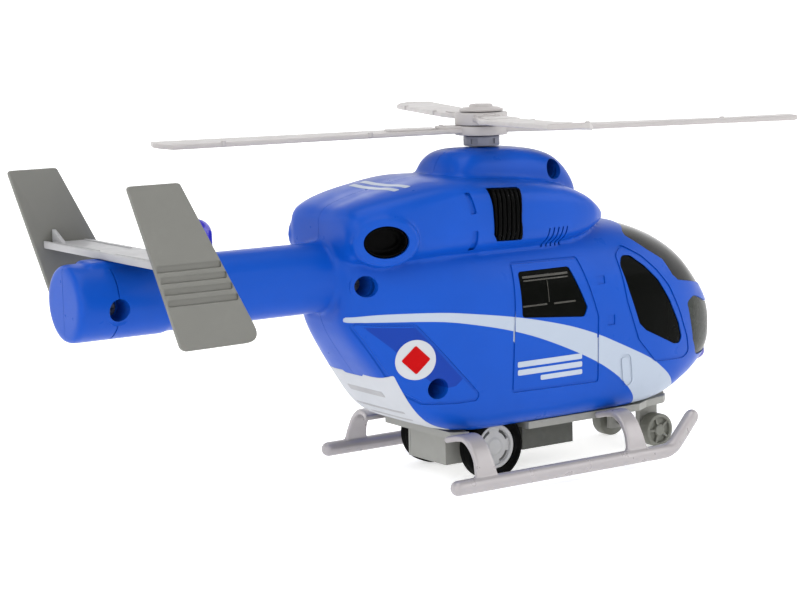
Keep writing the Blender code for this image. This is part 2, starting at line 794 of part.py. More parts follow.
def build_windows():
    layer = cut(fuselage(GLASS_SINK), fuselage(GLASS_SINK + GLASS_THICKNESS))
    windshield = prism(shrunk(WINDSHIELD, GLASS_GAP), "X", -40.0, 40.0)
    add_node(keep(copy_of(layer), windshield), "windshield", "glass_black")
    pieces = {
        "cabin_window": prism(shrunk(CABIN_WINDOW, GLASS_GAP), "X", *SIDE_TOOL_X),
        "door_window": prism(shrunk(DOOR_WINDOW, GLASS_GAP), "X", *SIDE_TOOL_X),
        "chin_window": prism(shrunk(CHIN_WINDOW, GLASS_GAP), "Y", *CHIN_TOOL_Y),
    }
    for name, tool in pieces.items():
        port = keep(copy_of(layer), tool)
        starboard = mirrored(port, "starboard")
        add_node(starboard, f"{name}_starboard", "glass_black")
        add_node(port, f"{name}_port", "glass_black")
    bpy.data.objects.remove(layer, do_unlink=True)


def build_intakes():
    """Intake grilles whose upright ribs are left between slots cut down their outer face."""
    port = cut(cowling(-INTAKE_PROUD), cowling(INTAKE_DEPTH))
    keep(port, prism(shrunk(INTAKE_OUTLINE, FIT), "X", *SIDE_TOOL_X))
    low, high = INTAKE_OUTLINE[2][0], INTAKE_OUTLINE[-1][0]
    pitch = (high - low) / INTAKE_RIBS
    middles = [low + i * pitch for i in range(1, INTAKE_RIBS)]
    slots = [box(SIDE_TOOL_X, grown_span((y, y), INTAKE_SLOT_WIDTH / 2), INTAKE_SLOT_Z) for y in middles]
    comb = cut(join(*slots), cowling(-INTAKE_PROUD + INTAKE_SLOT_DEPTH))
    cut(port, comb)
    starboard = mirrored(port, "intake")
    add_node(starboard, "intake_starboard", "trim_black")
    add_node(port, "intake_port", "trim_black")


def build_exhausts():
    starboard = exhaust_prism(EXHAUST_HALF, -EXHAUST_DEPTH, EXHAUST_LIP_PROUD - 0.5)
    cut(starboard, exhaust_prism(grown(EXHAUST_HALF, -EXHAUST_WALL), -EXHAUST_DEPTH + EXHAUST_WALL, 10.0))
    port = mirrored(starboard, "exhaust")
    add_node(starboard, "exhaust_starboard", "trim_black")
    add_node(port, "exhaust_port", "trim_black")


def build_lights():
    lens = ellipsoid(NOSE_LIGHT_CENTRE, NOSE_LIGHT_HALF)
    x, y, z = NOSE_LIGHT_CENTRE
    cut(lens, box((-2.4, 2.4), (y + 0.8, y + 10.0), (z - 0.6, z + 5.0)))
    add_node(lens, "nose_light", "lens_violet")
    outside = BEACON_RADIUS
    base = BOOM_Z + BOOM_RADIUS + GAP
    dome_start = BEACON_TOP - outside
    profile = [(2.9, base), (outside, base), (outside, dome_start)]
    for i in range(1, 5):
        angle = math.pi / 2 * i / 5
        profile.append((outside * math.cos(angle), dome_start + outside * math.sin(angle)))
    profile += [(0.0, BEACON_TOP), (0.0, BEACON_TOP - 1.2), (2.0, BEACON_TOP - 2.0), (2.9, dome_start)]
    add_node(revolved(profile, "Z", (0.0, BEACON_Y), 20), "tail_beacon", "lens_violet")
    led = [(0.0, 77.0), (2.2, 77.0), (2.2, 82.0), (1.6, 83.6), (0.0, 84.2)]
    add_node(revolved(led, "Z", (0.0, BEACON_Y), 14), "led_tail", "gear_white")
    nose_led = cylinder(1.1, "Y", y + 1.4, y + 7.4, (x, z + 1.6), 12)
    add_node(nose_led, "led_nose", "gear_white")


def screw(y, z, head):
    """A slotted pan-head screw along +X with its head at the given x."""
    under = head + SCREW_HEAD_HEIGHT
    tip = under + SCREW_LENGTH
    profile = (
        (0.0, head),
        (SCREW_HEAD_RADIUS - 0.5, head),
        (SCREW_HEAD_RADIUS, head + 0.6),
        (SCREW_HEAD_RADIUS, under),
        (SCREW_SHANK_RADIUS, under),
        (SCREW_SHANK_RADIUS, tip - SCREW_POINT),
        (0.0, tip),
    )
    body = revolved(profile, "X", (y, z), 16)
    deep = (head - 1.0, head + SCREW_SLOT_DEPTH)
    slot = box(deep, grown_span((y, y), 4.0), grown_span((z, z), SCREW_SLOT_HALF_WIDTH))
    cross = box(deep, grown_span((y, y), SCREW_SLOT_HALF_WIDTH), grown_span((z, z), 4.0))
    return cut(body, slot, cross)


def build_screws():
    for number, (y, z, head) in enumerate(SHELL_SCREWS, 1):
        add_node(screw(y, z, head), f"shell_screw_{number}", "steel")


def blade_outline():
    """Plan of one two-blade bar along X: narrow at the hub, broad along the blade, clipped tips."""
    half, neck = BLADE_CHORD / 2, BLADE_NECK / 2
    root = ((HUB_RADIUS * 0.6, neck), (BLADE_ROOT_R[0], neck), (BLADE_ROOT_R[1], half * 0.8))
    tip = ((BLADE_TIP - 6.0, half), (BLADE_TIP - 1.4, half - 2.4), (BLADE_TIP, half - 5.0))
    tip += ((BLADE_TIP, -half + 1.4), (BLADE_TIP - 1.0, -half))
    back = tuple((x, -y) for x, y in reversed(root))
    return (*root, (BLADE_ROOT_R[2], half), *tip, (BLADE_ROOT_R[2], -half), *back)


def rotor_bar(z, disc):
    """Hub disc with two blades along X, before it is turned to its heading."""
    body = cylinder(HUB_RADIUS, "Z", *disc, segments=36)
    arm = blade_outline()
    half = BLADE_THICKNESS / 2
    for sign in (1, -1):
        outline = [(sign * x, sign * y) for x, y in arm]
        join(body, prism(outline, "Z", z - half, z + half))
        grip = [(sign * x, y) for x, y in grip_outline()]
        join(body, prism(grip, "Z", z, z + half + GRIP_HEIGHT))
    return body


def grip_outline():
    return (
        (HUB_RADIUS * 0.7, GRIP_HALF_WIDTH),
        (GRIP_LENGTH, GRIP_HALF_WIDTH * 0.8),
        (GRIP_LENGTH + 1.5, 0.0),
        (GRIP_LENGTH, -GRIP_HALF_WIDTH * 0.8),
        (HUB_RADIUS * 0.7, -GRIP_HALF_WIDTH),
    )


def turned(obj, angle):
    """Turns the object about the rotor axis."""
    obj.data.transform(Matrix.Rotation(angle, 4, "Z"))
    return obj


def build_rotor():
    for name, z, disc, heading in (
        ("rotor_bar_lower", BLADE_LOWER_Z, LOWER_DISC_Z, math.pi / 2 + ROTOR_HEADING),
        ("rotor_bar_upper", BLADE_UPPER_Z, UPPER_DISC_Z, ROTOR_HEADING),
    ):
        bar = turned(rotor_bar(z, disc), heading)
        cut(bar, cylinder(SHAFT_RADIUS + GAP, "Z", 100.0, 125.0, segments=20))
        add_node(bar, name, "rotor_grey", (0.0, 0.0, z))
    cap = revolved(CAP_PROFILE, "Z", (0.0, 0.0), 36)
    add_node(cap, "rotor_cap", "rotor_grey", (0.0, 0.0, CAP_PROFILE[0][1]))
    low, high = SHAFT_Z
    stop_low, stop_high = SHAFT_STOP_Z
    profile = (
        (0.0, low),
        (SHAFT_RADIUS, low),
        (SHAFT_RADIUS, stop_low),
        (SHAFT_STOP_RADIUS, stop_low),
        (SHAFT_STOP_RADIUS, stop_high),
        (SHAFT_RADIUS, stop_high),
        (SHAFT_RADIUS, high),
        (0.0, high),
    )
    add_node(revolved(profile, "Z", (0.0, 0.0), 20), "rotor_shaft", "steel", (0.0, 0.0, low))
    low, high = COLLAR_Z
    collar = cut(
        cylinder(COLLAR_RADIUS, "Z", low, high, segments=36),
        cylinder(SHAFT_RADIUS + FIT, "Z", low - 1.0, high + 1.0, segments=20),
    )
    depth, half, margin = COLLAR_SLOT
    for i in range(COLLAR_SLOTS):
        notch_x = (COLLAR_RADIUS - depth, COLLAR_RADIUS + 1.0)
        notch = box(notch_x, (-half, half), (low + margin, high - margin))
        cut(collar, turned(notch, 2 * math.pi * i / COLLAR_SLOTS))
    add_node(collar, "mast_collar", "skid_grey")


def edge_at(top, foot, z):
    """y of the straight edge between two outline corners, at a height."""
    return foot[0] + (z - foot[1]) * (top[0] - foot[0]) / (top[1] - foot[1])


def build_tail():
    y0, y1 = TAILPLANE_Y
    low = PYLON_TOP + GAP
    half_span = (-TAILPLANE_HALF_SPAN, TAILPLANE_HALF_SPAN)
    plate = box(half_span, (y0, y1), (low, TAILPLANE_TOP))
    join(plate, box(half_span, (y1 - TAILPLANE_LIP[0], y1), (low, TAILPLANE_TOP + TAILPLANE_LIP[1])))
    tongue_y = (y0 + TONGUE_MARGIN, y1 - TONGUE_MARGIN)
    tongue_z = (PYLON_TOP + 0.5, TAILPLANE_TOP - 0.4)
    for side in (STARBOARD, PORT):
        ends = (TAILPLANE_HALF_SPAN - 0.5, FIN_INNER_X + FIN_SOCKET_DEPTH - GAP)
        join(plate, box(sorted(side * x for x in ends), tongue_y, tongue_z))
    peg_z = (PYLON_TOP - TAILPLANE_PEG_LENGTH, TAILPLANE_TOP - 0.3)
    for y in peg_positions():
        join(plate, cylinder(TAILPLANE_PEG_RADIUS, "Z", *peg_z, (0.0, y), 16))
    add_node(plate, "tailplane", "tail_grey")
    inner, outer = FIN_INNER_X, FIN_INNER_X + FIN_THICKNESS
    fin = prism(FIN_OUTLINE, "X", inner, outer)
    socket_x = (inner - 1.0, inner + FIN_SOCKET_DEPTH)
    cut(fin, box(socket_x, grown_span(tongue_y, GAP), grown_span(tongue_z, GAP)))
    for z in FIN_GROOVES_Z:
        front = edge_at(FIN_OUTLINE[1], FIN_OUTLINE[2], z)
        rear = edge_at(FIN_OUTLINE[0], FIN_OUTLINE[-1], z)
        groove_y = grown_span((front, rear), -FIN_GROOVE_MARGIN)
        groove_z = grown_span((z, z), FIN_GROOVE_HEIGHT / 2)
        cut(fin, box((outer - FIN_GROOVE_DEPTH, outer + 1.0), groove_y, groove_z))
    add_node(mirrored(fin, "fin"), "fin_starboard", "tail_grey")
    add_node(fin, "fin_port", "tail_grey")


def build_base():
    low, high = BASE_Z
    plate = join(prism(BASE_OUTLINE, "Z", low, high), box(*BASE_NOSE))
    for side in (STARBOARD, PORT):
        x0, x1 = sorted(side * x for x in AXLE_LUG_X)
        lug = box((x0, x1), AXLE_LUG_Y, (AXLE_LUG_BOTTOM, low + FIT))
        cut(lug, cylinder(FRONT_AXLE_RADIUS + FIT, "X", x0 - 1.0, x1 + 1.0, FRONT_AXLE, 16))
        join(plate, lug)
    hole = ((CASE_X[0] - FIT, CASE_X[1] + FIT), (CASE_Y[0] - FIT, CASE_Y[1] + FIT), (0.0, 30.0))
    half = SWITCH_KNOB_HALF_WIDTH + FIT
    slot_y = (SWITCH_KNOB_Y[0] - FIT, SWITCH_KNOB_Y[1] + SWITCH_TRAVEL + FIT)
    slot = ((SWITCH_X - half, SWITCH_X + half), slot_y, (0.0, 30.0))
    tray = (grown_span(BATTERY_X, FIT), grown_span(BATTERY_Y, FIT), (0.0, 30.0))
    cut(plate, box(*hole), box(*slot), box(*tray))
    for side in (STARBOARD, PORT):
        cut(plate, wheel_well(side, WHEEL_WELL[0][1]))
    for dx, dy in SOUND_HOLES:
        cut(plate, cylinder(SOUND_HOLE_RADIUS, "Z", 0.0, 30.0, (dx, SPEAKER_CENTRE_Y + dy), 10))
    add_node(plate, "base_plate", "skid_grey")


def swept(path, ring_at):
    return mesh_object("swept", bridged([ring_at(i, point) for i, point in enumerate(path)]))


def path_normals(path):
    """Unit normals of a path of (a, b) points, averaged at each corner."""
    points = [Vector(point) for point in path]
    result = []
    for i in range(len(points)):
        before = points[max(i - 1, 0)]
        after = points[min(i + 1, len(points) - 1)]
        along = (after - before).normalized()
        result.append(Vector((-along.y, along.x)))
    return result


def skid_tube(x):
    normals = path_normals(SKID_PATH)

    def ring_at(i, point):
        ring = []
        for a, b in circle(SKID_RADIUS, SKID_SEGMENTS):
            offset = normals[i] * b
            ring.append((x + a, point[0] + offset.x, point[1] + offset.y))
        return ring

    return swept(SKID_PATH, ring_at)


def strut(side, y):
    normals = path_normals(STRUT_PATH)
    half = STRUT_THICKNESS / 2

    def ring_at(i, point):
        ring = []
        for across, out in ((-1, -1), (1, -1), (1, 1), (-1, 1)):
            offset = normals[i] * out * half
            ring.append((side * (point[0] + offset.x), y + across * STRUT_HALF_WIDTH, point[1] + offset.y))
        return ring

    return swept(STRUT_PATH, ring_at)


def build_skids():
    for side in (STARBOARD, PORT):
        body = skid_tube(side * SKID_X)
        for y in STRUT_CENTRES_Y:
            join(body, strut(side, y))
        add_node(body, f"skid_{SIDE_NAMES[side]}", "skid_grey")


def tyre(side):
    low, high = TYRE_X
    r, c = TYRE_RADIUS, TYRE_ROUNDING
    inner = HUB_RIM_RADIUS + GAP
    profile = (
        (inner, low),
        (r - c, low),
        (r - c * 0.3, low + c * 0.3),
        (r, low + c),
        (r, high - c),
        (r - c * 0.3, high - c * 0.3),
        (r - c, high),
        (inner, high),
    )
    return revolved([(a, side * x) for a, x in profile], "X", REAR_AXLE, WHEEL_SEGMENTS)


def rear_hub(side):
    low, high = HUB_X
    bore = REAR_AXLE_RADIUS + GAP
    profile = (
        (bore, low),
        (HUB_RIM_RADIUS, low),
        (HUB_RIM_RADIUS, high),
        (HUB_RIM_RADIUS - 1.0, high),
        (HUB_RIM_RADIUS - 1.4, high - HUB_DISH),
        (HUB_BOSS_RADIUS + 0.4, high - HUB_DISH),
        (HUB_BOSS_RADIUS, high - HUB_BOSS_DROP),
        (0.0, high - HUB_BOSS_DROP),
        (0.0, REAR_AXLE_HALF + GAP),
        (bore, REAR_AXLE_HALF + GAP),
    )
    hub = revolved([(a, side * x) for a, x in profile], "X", REAR_AXLE, WHEEL_SEGMENTS)
    for i in range(HUB_SLOTS):
        angle = 2 * math.pi * (i + 0.5) / HUB_SLOTS
        outline = []
        for radius, steps in zip(HUB_SLOT_RADII, (range(-2, 3), range(2, -3, -1))):
            for step in steps:
                a = angle + step * HUB_SLOT_STEP
                outline.append((REAR_AXLE[0] + radius * math.cos(a), REAR_AXLE[1] + radius * math.sin(a)))
        x0, x1 = sorted((side * (low - 1.0), side * (high + 1.0)))
        cut(hub, prism(outline, "X", x0, x1))
    return hub


def front_wheel(side):
    low, high = FRONT_WHEEL_X
    r = FRONT_WHEEL_RADIUS
    bore = FRONT_AXLE_RADIUS + GAP
    edge, boss = FRONT_WHEEL_EDGE, FRONT_BOSS_RADIUS
    floor = high - FRONT_WHEEL_DISH
    profile = (
        (bore, low),
        (r - edge, low),
        (r, low + edge),
        (r, high - edge),
        (r - edge, high),
        (r - FRONT_RIM_WIDTH, high),
        (r - FRONT_RIM_WIDTH, floor),
        (boss + 0.2, floor),
        (boss, high),
        (0.0, high),
        (0.0, FRONT_AXLE_HALF + GAP),
        (bore, FRONT_AXLE_HALF + GAP),
    )
    wheel = revolved([(a, side * x) for a, x in profile], "X", FRONT_AXLE, 28)
    for i in range(FRONT_SPOKES):
        spoke_y = (boss - 0.3, r - FRONT_RIM_WIDTH + 0.3)
        x = sorted(side * a for a in (floor - 0.2, high - FRONT_WHEEL_DISH / 3))
        spoke = box(x, spoke_y, grown_span((0.0, 0.0), FRONT_SPOKE_HALF_WIDTH))
        angle = 2 * math.pi * i / FRONT_SPOKES
        place = Matrix.Translation((0.0, *FRONT_AXLE)) @ Matrix.Rotation(angle, 4, "X")
        spoke.data.transform(place)
        join(wheel, spoke)
    return wheel


def build_wheels():
    rear = (0.0, *REAR_AXLE)
    front = (0.0, *FRONT_AXLE)
    for side in (STARBOARD, PORT):
        add_node(tyre(side), f"tyre_{SIDE_NAMES[side]}", "tyre_rubber", rear)
        add_node(rear_hub(side), f"rear_hub_{SIDE_NAMES[side]}", "wheel_grey", rear)
        add_node(front_wheel(side), f"front_wheel_{SIDE_NAMES[side]}", "box_grey", front)
    axle = cylinder(REAR_AXLE_RADIUS, "X", -REAR_AXLE_HALF, REAR_AXLE_HALF, REAR_AXLE, 16)
    add_node(axle, "rear_axle", "steel", rear)
    axle = cylinder(FRONT_AXLE_RADIUS, "X", -FRONT_AXLE_HALF, FRONT_AXLE_HALF, FRONT_AXLE, 14)
    add_node(axle, "front_axle", "steel", front)


def pitch_radius(teeth):
    return GEAR_MODULE * teeth / 2


def polar(centre, distance, angle):
    return (centre[0] + distance * math.cos(angle), centre[1] + distance * math.sin(angle))


IDLER_CENTRE = polar(REAR_AXLE, pitch_radius(AXLE_GEAR_TEETH + IDLER_PINION_TEETH), IDLER_BEARING)
FLYWHEEL_DISTANCE = pitch_radius(IDLER_WHEEL_TEETH + FLYWHEEL_PINION_TEETH)
FLYWHEEL_CENTRE = polar(IDLER_CENTRE, FLYWHEEL_DISTANCE, FLYWHEEL_BEARING)


def gear_outline(teeth, centre, phase):
    """Straight-flanked teeth; phase is the angle of the middle of one tooth."""
    radius = pitch_radius(teeth)
    tip, root = radius + 0.8 * GEAR_MODULE, radius - 1.15 * GEAR_MODULE
    tooth = math.pi / teeth - GEAR_BACKLASH / radius
    outline = []
    for i in range(teeth):
        middle = phase + 2 * math.pi * i / teeth
        for r, spread in ((root, 0.85), (tip, 0.28), (tip, -0.28), (root, -0.85)):
            outline.append(polar(centre, r, middle - spread * tooth))
    return outline


def gear(teeth, centre, phase, x):
    return prism(gear_outline(teeth, centre, phase), "X", *x)


def build_drive():
    rear = (0.0, *REAR_AXLE)
    axle_phase = IDLER_BEARING
    axle_gear = gear(AXLE_GEAR_TEETH, REAR_AXLE, axle_phase, AXLE_GEAR_X)
    cut(axle_gear, cylinder(REAR_AXLE_RADIUS + GAP, "X", -12.0, 0.0, REAR_AXLE, 16))
    add_node(axle_gear, "axle_gear", "gear_white", rear)
    pinion_phase = IDLER_BEARING + math.pi + math.pi / IDLER_PINION_TEETH
    idler = gear(IDLER_PINION_TEETH, IDLER_CENTRE, pinion_phase, (AXLE_GEAR_X[0], IDLER_WHEEL_X[0] + 0.3))
    wheel_phase = FLYWHEEL_BEARING
    join(idler, gear(IDLER_WHEEL_TEETH, IDLER_CENTRE, wheel_phase, IDLER_WHEEL_X))
    join(idler, cylinder(IDLER_RADIUS, "X", CASE_X[0] + 0.4, PARTITION_X[1] - 0.4, IDLER_CENTRE, 14))
    add_node(idler, "idler_gear", "gear_white", (0.0, *IDLER_CENTRE))
    fly_phase = FLYWHEEL_BEARING + math.pi + math.pi / FLYWHEEL_PINION_TEETH
    pinion = gear(FLYWHEEL_PINION_TEETH, FLYWHEEL_CENTRE, fly_phase, IDLER_WHEEL_X)
    join(pinion, cylinder(IDLER_RADIUS, "X", CASE_X[0] + 0.4, CASE_X[1] - 0.4, FLYWHEEL_CENTRE, 14))
    add_node(pinion, "flywheel_pinion", "brass", (0.0, *FLYWHEEL_CENTRE))
    disc = cylinder(FLYWHEEL_RADIUS, "X", *FLYWHEEL_X, FLYWHEEL_CENTRE, 36)
    cut(disc, cylinder(IDLER_RADIUS + GAP, "X", 0.0, 12.0, FLYWHEEL_CENTRE, 14))
    add_node(disc, "flywheel", "steel", (0.0, *FLYWHEEL_CENTRE))
    build_case()


def build_case():
    x0, x1 = CASE_X
    y0, y1 = CASE_Y
    z0, z1 = CASE_Z
    wall = CASE_WALL
    case = box((x0, x1 - wall - GAP), CASE_Y, CASE_Z)
    cut(case, box((x0 + wall, x1 + 1.0), (y0 + wall, y1 - wall), (z0 + wall, z1 - wall)))
    cover = box((x1 - wall, x1), CASE_Y, CASE_Z)
    plate = box(PARTITION_X, (y0 + wall + GAP, y1 - wall - GAP), (z0 + wall + GAP, z1 - wall - GAP))
    bores = ((REAR_AXLE, REAR_AXLE_RADIUS + FIT), (FLYWHEEL_CENTRE, IDLER_RADIUS + FIT))
    for piece in (case, cover, plate):
        for centre, radius in bores:
            cut(piece, cylinder(radius, "X", -20.0, 20.0, centre, 16))
    for piece in (case, plate):
        cut(piece, cylinder(IDLER_RADIUS + FIT, "X", -20.0, 1.0, IDLER_CENTRE, 16))
    add_node(case, "gearbox_case", "skid_grey")
    add_node(cover, "gearbox_cover", "skid_grey")
    add_node(plate, "bearing_plate", "gear_white")


def build_battery():
    (x0, x1), (y0, y1), (z0, z1) = BATTERY_X, BATTERY_Y, BATTERY_Z
    wall = BATTERY_WALL
    floor = z0 + BATTERY_DOOR_THICKNESS + GAP
    tray = box(BATTERY_X, BATTERY_Y, BATTERY_Z)
    cut(tray, box((x0 + wall, x1 - wall), (y0 + wall, y1 - wall), (z0 - 1.0, z1 - wall)))
    add_node(tray, "battery_box", "box_grey")
    inset = wall + FIT
    door = box((x0 + inset, x1 - inset), (y0 + inset, y1 - inset), (z0, z0 + BATTERY_DOOR_THICKNESS))
    cut(door, box(DOOR_GRIP_X, (y1 - 4.4, y1 - 3.4), (z0 - 1.0, z0 + 0.5)))
    add_node(door, "battery_door", "box_grey")
    middle_y = (y0 + y1) / 2
    centre = (middle_y, (floor + z1 - wall) / 2)
    for number in range(CELL_COUNT):
        x = (number - (CELL_COUNT - 1) / 2) * CELL_PITCH
        low, high = x - CELL_LENGTH / 2, x + CELL_LENGTH / 2
        profile = (
            (0.0, low),
            (CELL_RADIUS, low),
            (CELL_RADIUS, high - CELL_CROWN),
            (CELL_RADIUS - CELL_CROWN, high - CELL_CROWN / 2),
            (CELL_RADIUS - CELL_CROWN, high),
            (0.0, high),
        )
        add_node(revolved(profile, "X", centre, 20), f"cell_{number + 1}", "steel")
    span = (middle_y - CONTACT_HALF_WIDTH, middle_y + CONTACT_HALF_WIDTH)
    for side in (STARBOARD, PORT):
        outer = side * (x1 - wall - GAP)
        x = tuple(sorted((outer, outer - side * CONTACT_THICKNESS)))
        contact = box(x, span, (floor + GAP, z1 - wall - GAP))
        add_node(contact, f"contact_{SIDE_NAMES[side]}", "brass")


def build_electrics():
    board = box(*BOARD)
    (x0, x1), (y0, y1), (z0, z1) = BOARD
    join(board, box((-4.0, 4.0), (y0 + 4.0, y0 + 10.0), (z1 - 0.2, z1 + 1.8)))
    join(board, cylinder(2.4, "Z", z1 - 0.2, z1 + 5.0, (7.5, y0 + 7.0), 14))
    add_node(board, "circuit_board", "board_green")
    z0, z1 = SPEAKER_Z
    r = SPEAKER_RADIUS
    profile = ((0.0, z0 + 0.8), (r - 2.0, z0), (r, z0), (r, z0 + 1.6), (MAGNET_RADIUS, z1), (0.0, z1))
    add_node(revolved(profile, "Z", (0.0, SPEAKER_CENTRE_Y), 24), "speaker", "trim_black")
    low = z1 + GAP
    magnet = cylinder(MAGNET_RADIUS, "Z", low, low + MAGNET_HEIGHT, (0.0, SPEAKER_CENTRE_Y), 24)
    add_node(magnet, "speaker_magnet", "steel")
    build_switch()


def build_switch():
    """A slide switch over a slot in the base plate; its knob moves along +Y."""
    half = SWITCH_KNOB_HALF_WIDTH
    low, high = SWITCH_BODY_Z
    body = box(grown_span((SWITCH_X, SWITCH_X), SWITCH_BODY_HALF_WIDTH), SWITCH_BODY_Y, SWITCH_BODY_Z)
    knob_y = SWITCH_KNOB_Y
    foot_y = grown_span(knob_y, SWITCH_FOOT)
    cavity_y = (foot_y[0] - FIT, foot_y[1] + SWITCH_TRAVEL + FIT)
    cut(body, box(grown_span((SWITCH_X, SWITCH_X), half + FIT), cavity_y, (low - 1.0, high - 2.1)))
    add_node(body, "switch_body", "steel")
    width = (SWITCH_X - half, SWITCH_X + half)
    knob = box(width, knob_y, (BASE_Z[0] - 1.2, low + 0.4))
    join(knob, box(width, foot_y, (low + FIT, high - 2.4)))
    add_node(knob, "switch_knob", "trim_black", (SWITCH_X, sum(knob_y) / 2, BASE_Z[0]))


def main():
    clear_scene()
    make_materials()
    build_shell()
    build_windows()
    build_intakes()
    build_exhausts()
    build_lights()
    build_screws()
    build_rotor()
    build_tail()
    build_base()
    build_skids()
    build_wheels()
    build_drive()
    build_battery()
    build_electrics()


main()
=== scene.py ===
"""Looks of a toy rescue helicopter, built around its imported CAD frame.

Shapes are made in millimetres counted from the rotor axis, as in the CAD: the nose looks along -Y,
up is +Z and starboard is -X. finished() turns them into metres in the row frame.
"""

import json
import math

import bmesh
import bpy
import numpy as np
from mathutils import Matrix, Vector
from mathutils.bvhtree import BVHTree


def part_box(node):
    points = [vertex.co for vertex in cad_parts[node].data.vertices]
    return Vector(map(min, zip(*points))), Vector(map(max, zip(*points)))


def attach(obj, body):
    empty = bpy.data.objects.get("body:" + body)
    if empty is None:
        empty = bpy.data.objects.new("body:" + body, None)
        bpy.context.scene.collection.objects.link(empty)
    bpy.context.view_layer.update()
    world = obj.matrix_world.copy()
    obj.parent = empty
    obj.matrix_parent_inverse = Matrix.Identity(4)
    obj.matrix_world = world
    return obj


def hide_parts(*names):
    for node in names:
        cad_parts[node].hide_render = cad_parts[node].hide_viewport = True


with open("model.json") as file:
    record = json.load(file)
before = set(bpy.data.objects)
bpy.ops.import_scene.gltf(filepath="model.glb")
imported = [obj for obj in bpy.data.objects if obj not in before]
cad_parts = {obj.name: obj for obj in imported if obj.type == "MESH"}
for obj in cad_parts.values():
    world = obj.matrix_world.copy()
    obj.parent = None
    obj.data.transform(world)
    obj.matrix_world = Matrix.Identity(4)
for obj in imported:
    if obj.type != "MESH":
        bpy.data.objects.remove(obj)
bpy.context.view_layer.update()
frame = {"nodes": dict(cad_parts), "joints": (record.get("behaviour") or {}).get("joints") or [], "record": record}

MM = 0.001
SIDES = {"starboard": -1, "port": 1}
JOINTS = {joint["name"]: joint for joint in frame["joints"]}
HUB_Y = JOINTS["rotor_spin"]["pos_m"][1]
BEVEL_ANGLE = math.radians(30)
SHARP_ANGLE = math.radians(35)
# Where a point (a, b) at a level along each axis lies.
PLACES = {
    "X": lambda level, a, b: (level, a, b),
    "Y": lambda level, a, b: (a, level, b),
    "Z": lambda level, a, b: (a, b, level),
}


def joint_centre(name):
    """A joint's (y, z) in millimetres from the rotor axis."""
    _, y, z = JOINTS[name]["pos_m"]
    return ((y - HUB_Y) / MM, z / MM)


def span(node):
    """A CAD node's lowest and highest corner in millimetres from the rotor axis."""
    low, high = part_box(node)
    shift = Vector((0.0, HUB_Y, 0.0))
    return (low - shift) / MM, (high - shift) / MM


def side_range(node_name):
    """How far a node on one side lies from the centre plane, at its inner and its outer face."""
    low, high = span(node_name)
    return min(abs(low.x), abs(high.x)), max(abs(low.x), abs(high.x))


def wheel_radius(node_name):
    low, high = span(node_name)
    return (high.z - low.z) / 2


# ---------------------------------------------------------------- mesh tools


def linked(name, data):
    obj = bpy.data.objects.new(name, data)
    bpy.context.scene.collection.objects.link(obj)
    return obj


def mesh_object(name, bm):
    mesh = bpy.data.meshes.new(name)
    bm.to_mesh(mesh)
    bm.free()
    return linked(name, mesh)


def new_object(name, bm):
    """An object from a closed mesh, with all its faces turned outward."""
    bmesh.ops.recalc_face_normals(bm, faces=bm.faces)
    if bm.calc_volume(signed=True) < 0:
        bmesh.ops.reverse_faces(bm, faces=bm.faces)
    return mesh_object(name, bm)


def band(bm, first, second, flip=False):
    """Faces between two rings of vertices; a ring of one vertex makes a fan, and two make nothing."""
    count = max(len(first), len(second))
    for i in range(count if count > 1 else 0):
        j = (i + 1) % count
        if len(first) == 1:
            corners = (first[0], second[j], second[i])
        elif len(second) == 1:
            corners = (first[i], first[j], second[0])
        else:
            corners = (first[i], first[j], second[j], second[i])
        bm.faces.new(corners[::-1] if flip else corners)


def applied(obj):
    """Replaces the object's mesh by what its modifiers make of it."""
    graph = bpy.context.evaluated_depsgraph_get()
    result = bpy.data.meshes.new_from_object(obj.evaluated_get(graph))
    obj.modifiers.clear()
    old = obj.data
    obj.data = result
    bpy.data.meshes.remove(old)
    return obj


def combine(target, tool, operation):
    modifier = target.modifiers.new(operation, "BOOLEAN")
    modifier.operation = operation
    modifier.solver = "MANIFOLD"
    modifier.object = tool
    applied(target)
    bpy.data.objects.remove(tool, do_unlink=True)
    return target


def cut(target, *tools):
    for tool in tools:
        combine(target, tool, "DIFFERENCE")
    return target


def fuse(target, *tools):
    for tool in tools:
        combine(target, tool, "UNION")
    return target


def keep(target, tool):
    return combine(target, tool, "INTERSECT")


def joined(*parts):
    """One object that holds the meshes of all parts, without merging them."""
    bm = bmesh.new()
    for part in parts:
        bm.from_mesh(part.data)
        bpy.data.objects.remove(part, do_unlink=True)
    return mesh_object("joined", bm)


def copy_of(obj):
    twin = obj.copy()
    twin.data = obj.data.copy()
    bpy.context.scene.collection.objects.link(twin)
    return twin


def mirrored(obj):
    """A copy on the other side of the centre plane."""
    twin = copy_of(obj)
    twin.data.transform(Matrix.Diagonal((-1.0, 1.0, 1.0, 1.0)))
    twin.data.flip_normals()
    return twin


def remeshed(obj, voxel, rounds):
    """Voxel remesh, then smoothing, which rounds the edges and fills the corners between shapes."""
    remesh = obj.modifiers.new("Remesh", "REMESH")
    remesh.mode = "VOXEL"
    remesh.voxel_size = voxel
    smooth = obj.modifiers.new("Smooth", "SMOOTH")
    smooth.factor = 0.5
    smooth.iterations = rounds
    return applied(obj)


def bevelled(obj, width, segments=3):
    bevel = obj.modifiers.new("Bevel", "BEVEL")
    bevel.width = width
    bevel.segments = segments
    bevel.limit_method = "ANGLE"
    bevel.angle_limit = BEVEL_ANGLE
    return applied(obj)


def turned(obj, angle):
    obj.data.transform(Matrix.Rotation(angle, 4, "Z"))
    return obj


def bridged(rings):
    """A closed solid through rings of equally many points, with a flat cap on each end."""
    bm = bmesh.new()
    rows = [[bm.verts.new(point) for point in ring] for ring in rings]
    for first, second in zip(rows, rows[1:]):
        band(bm, first, second)
    bm.faces.new(rows[0])
    bm.faces.new(rows[-1])
    return new_object("bridged", bm)


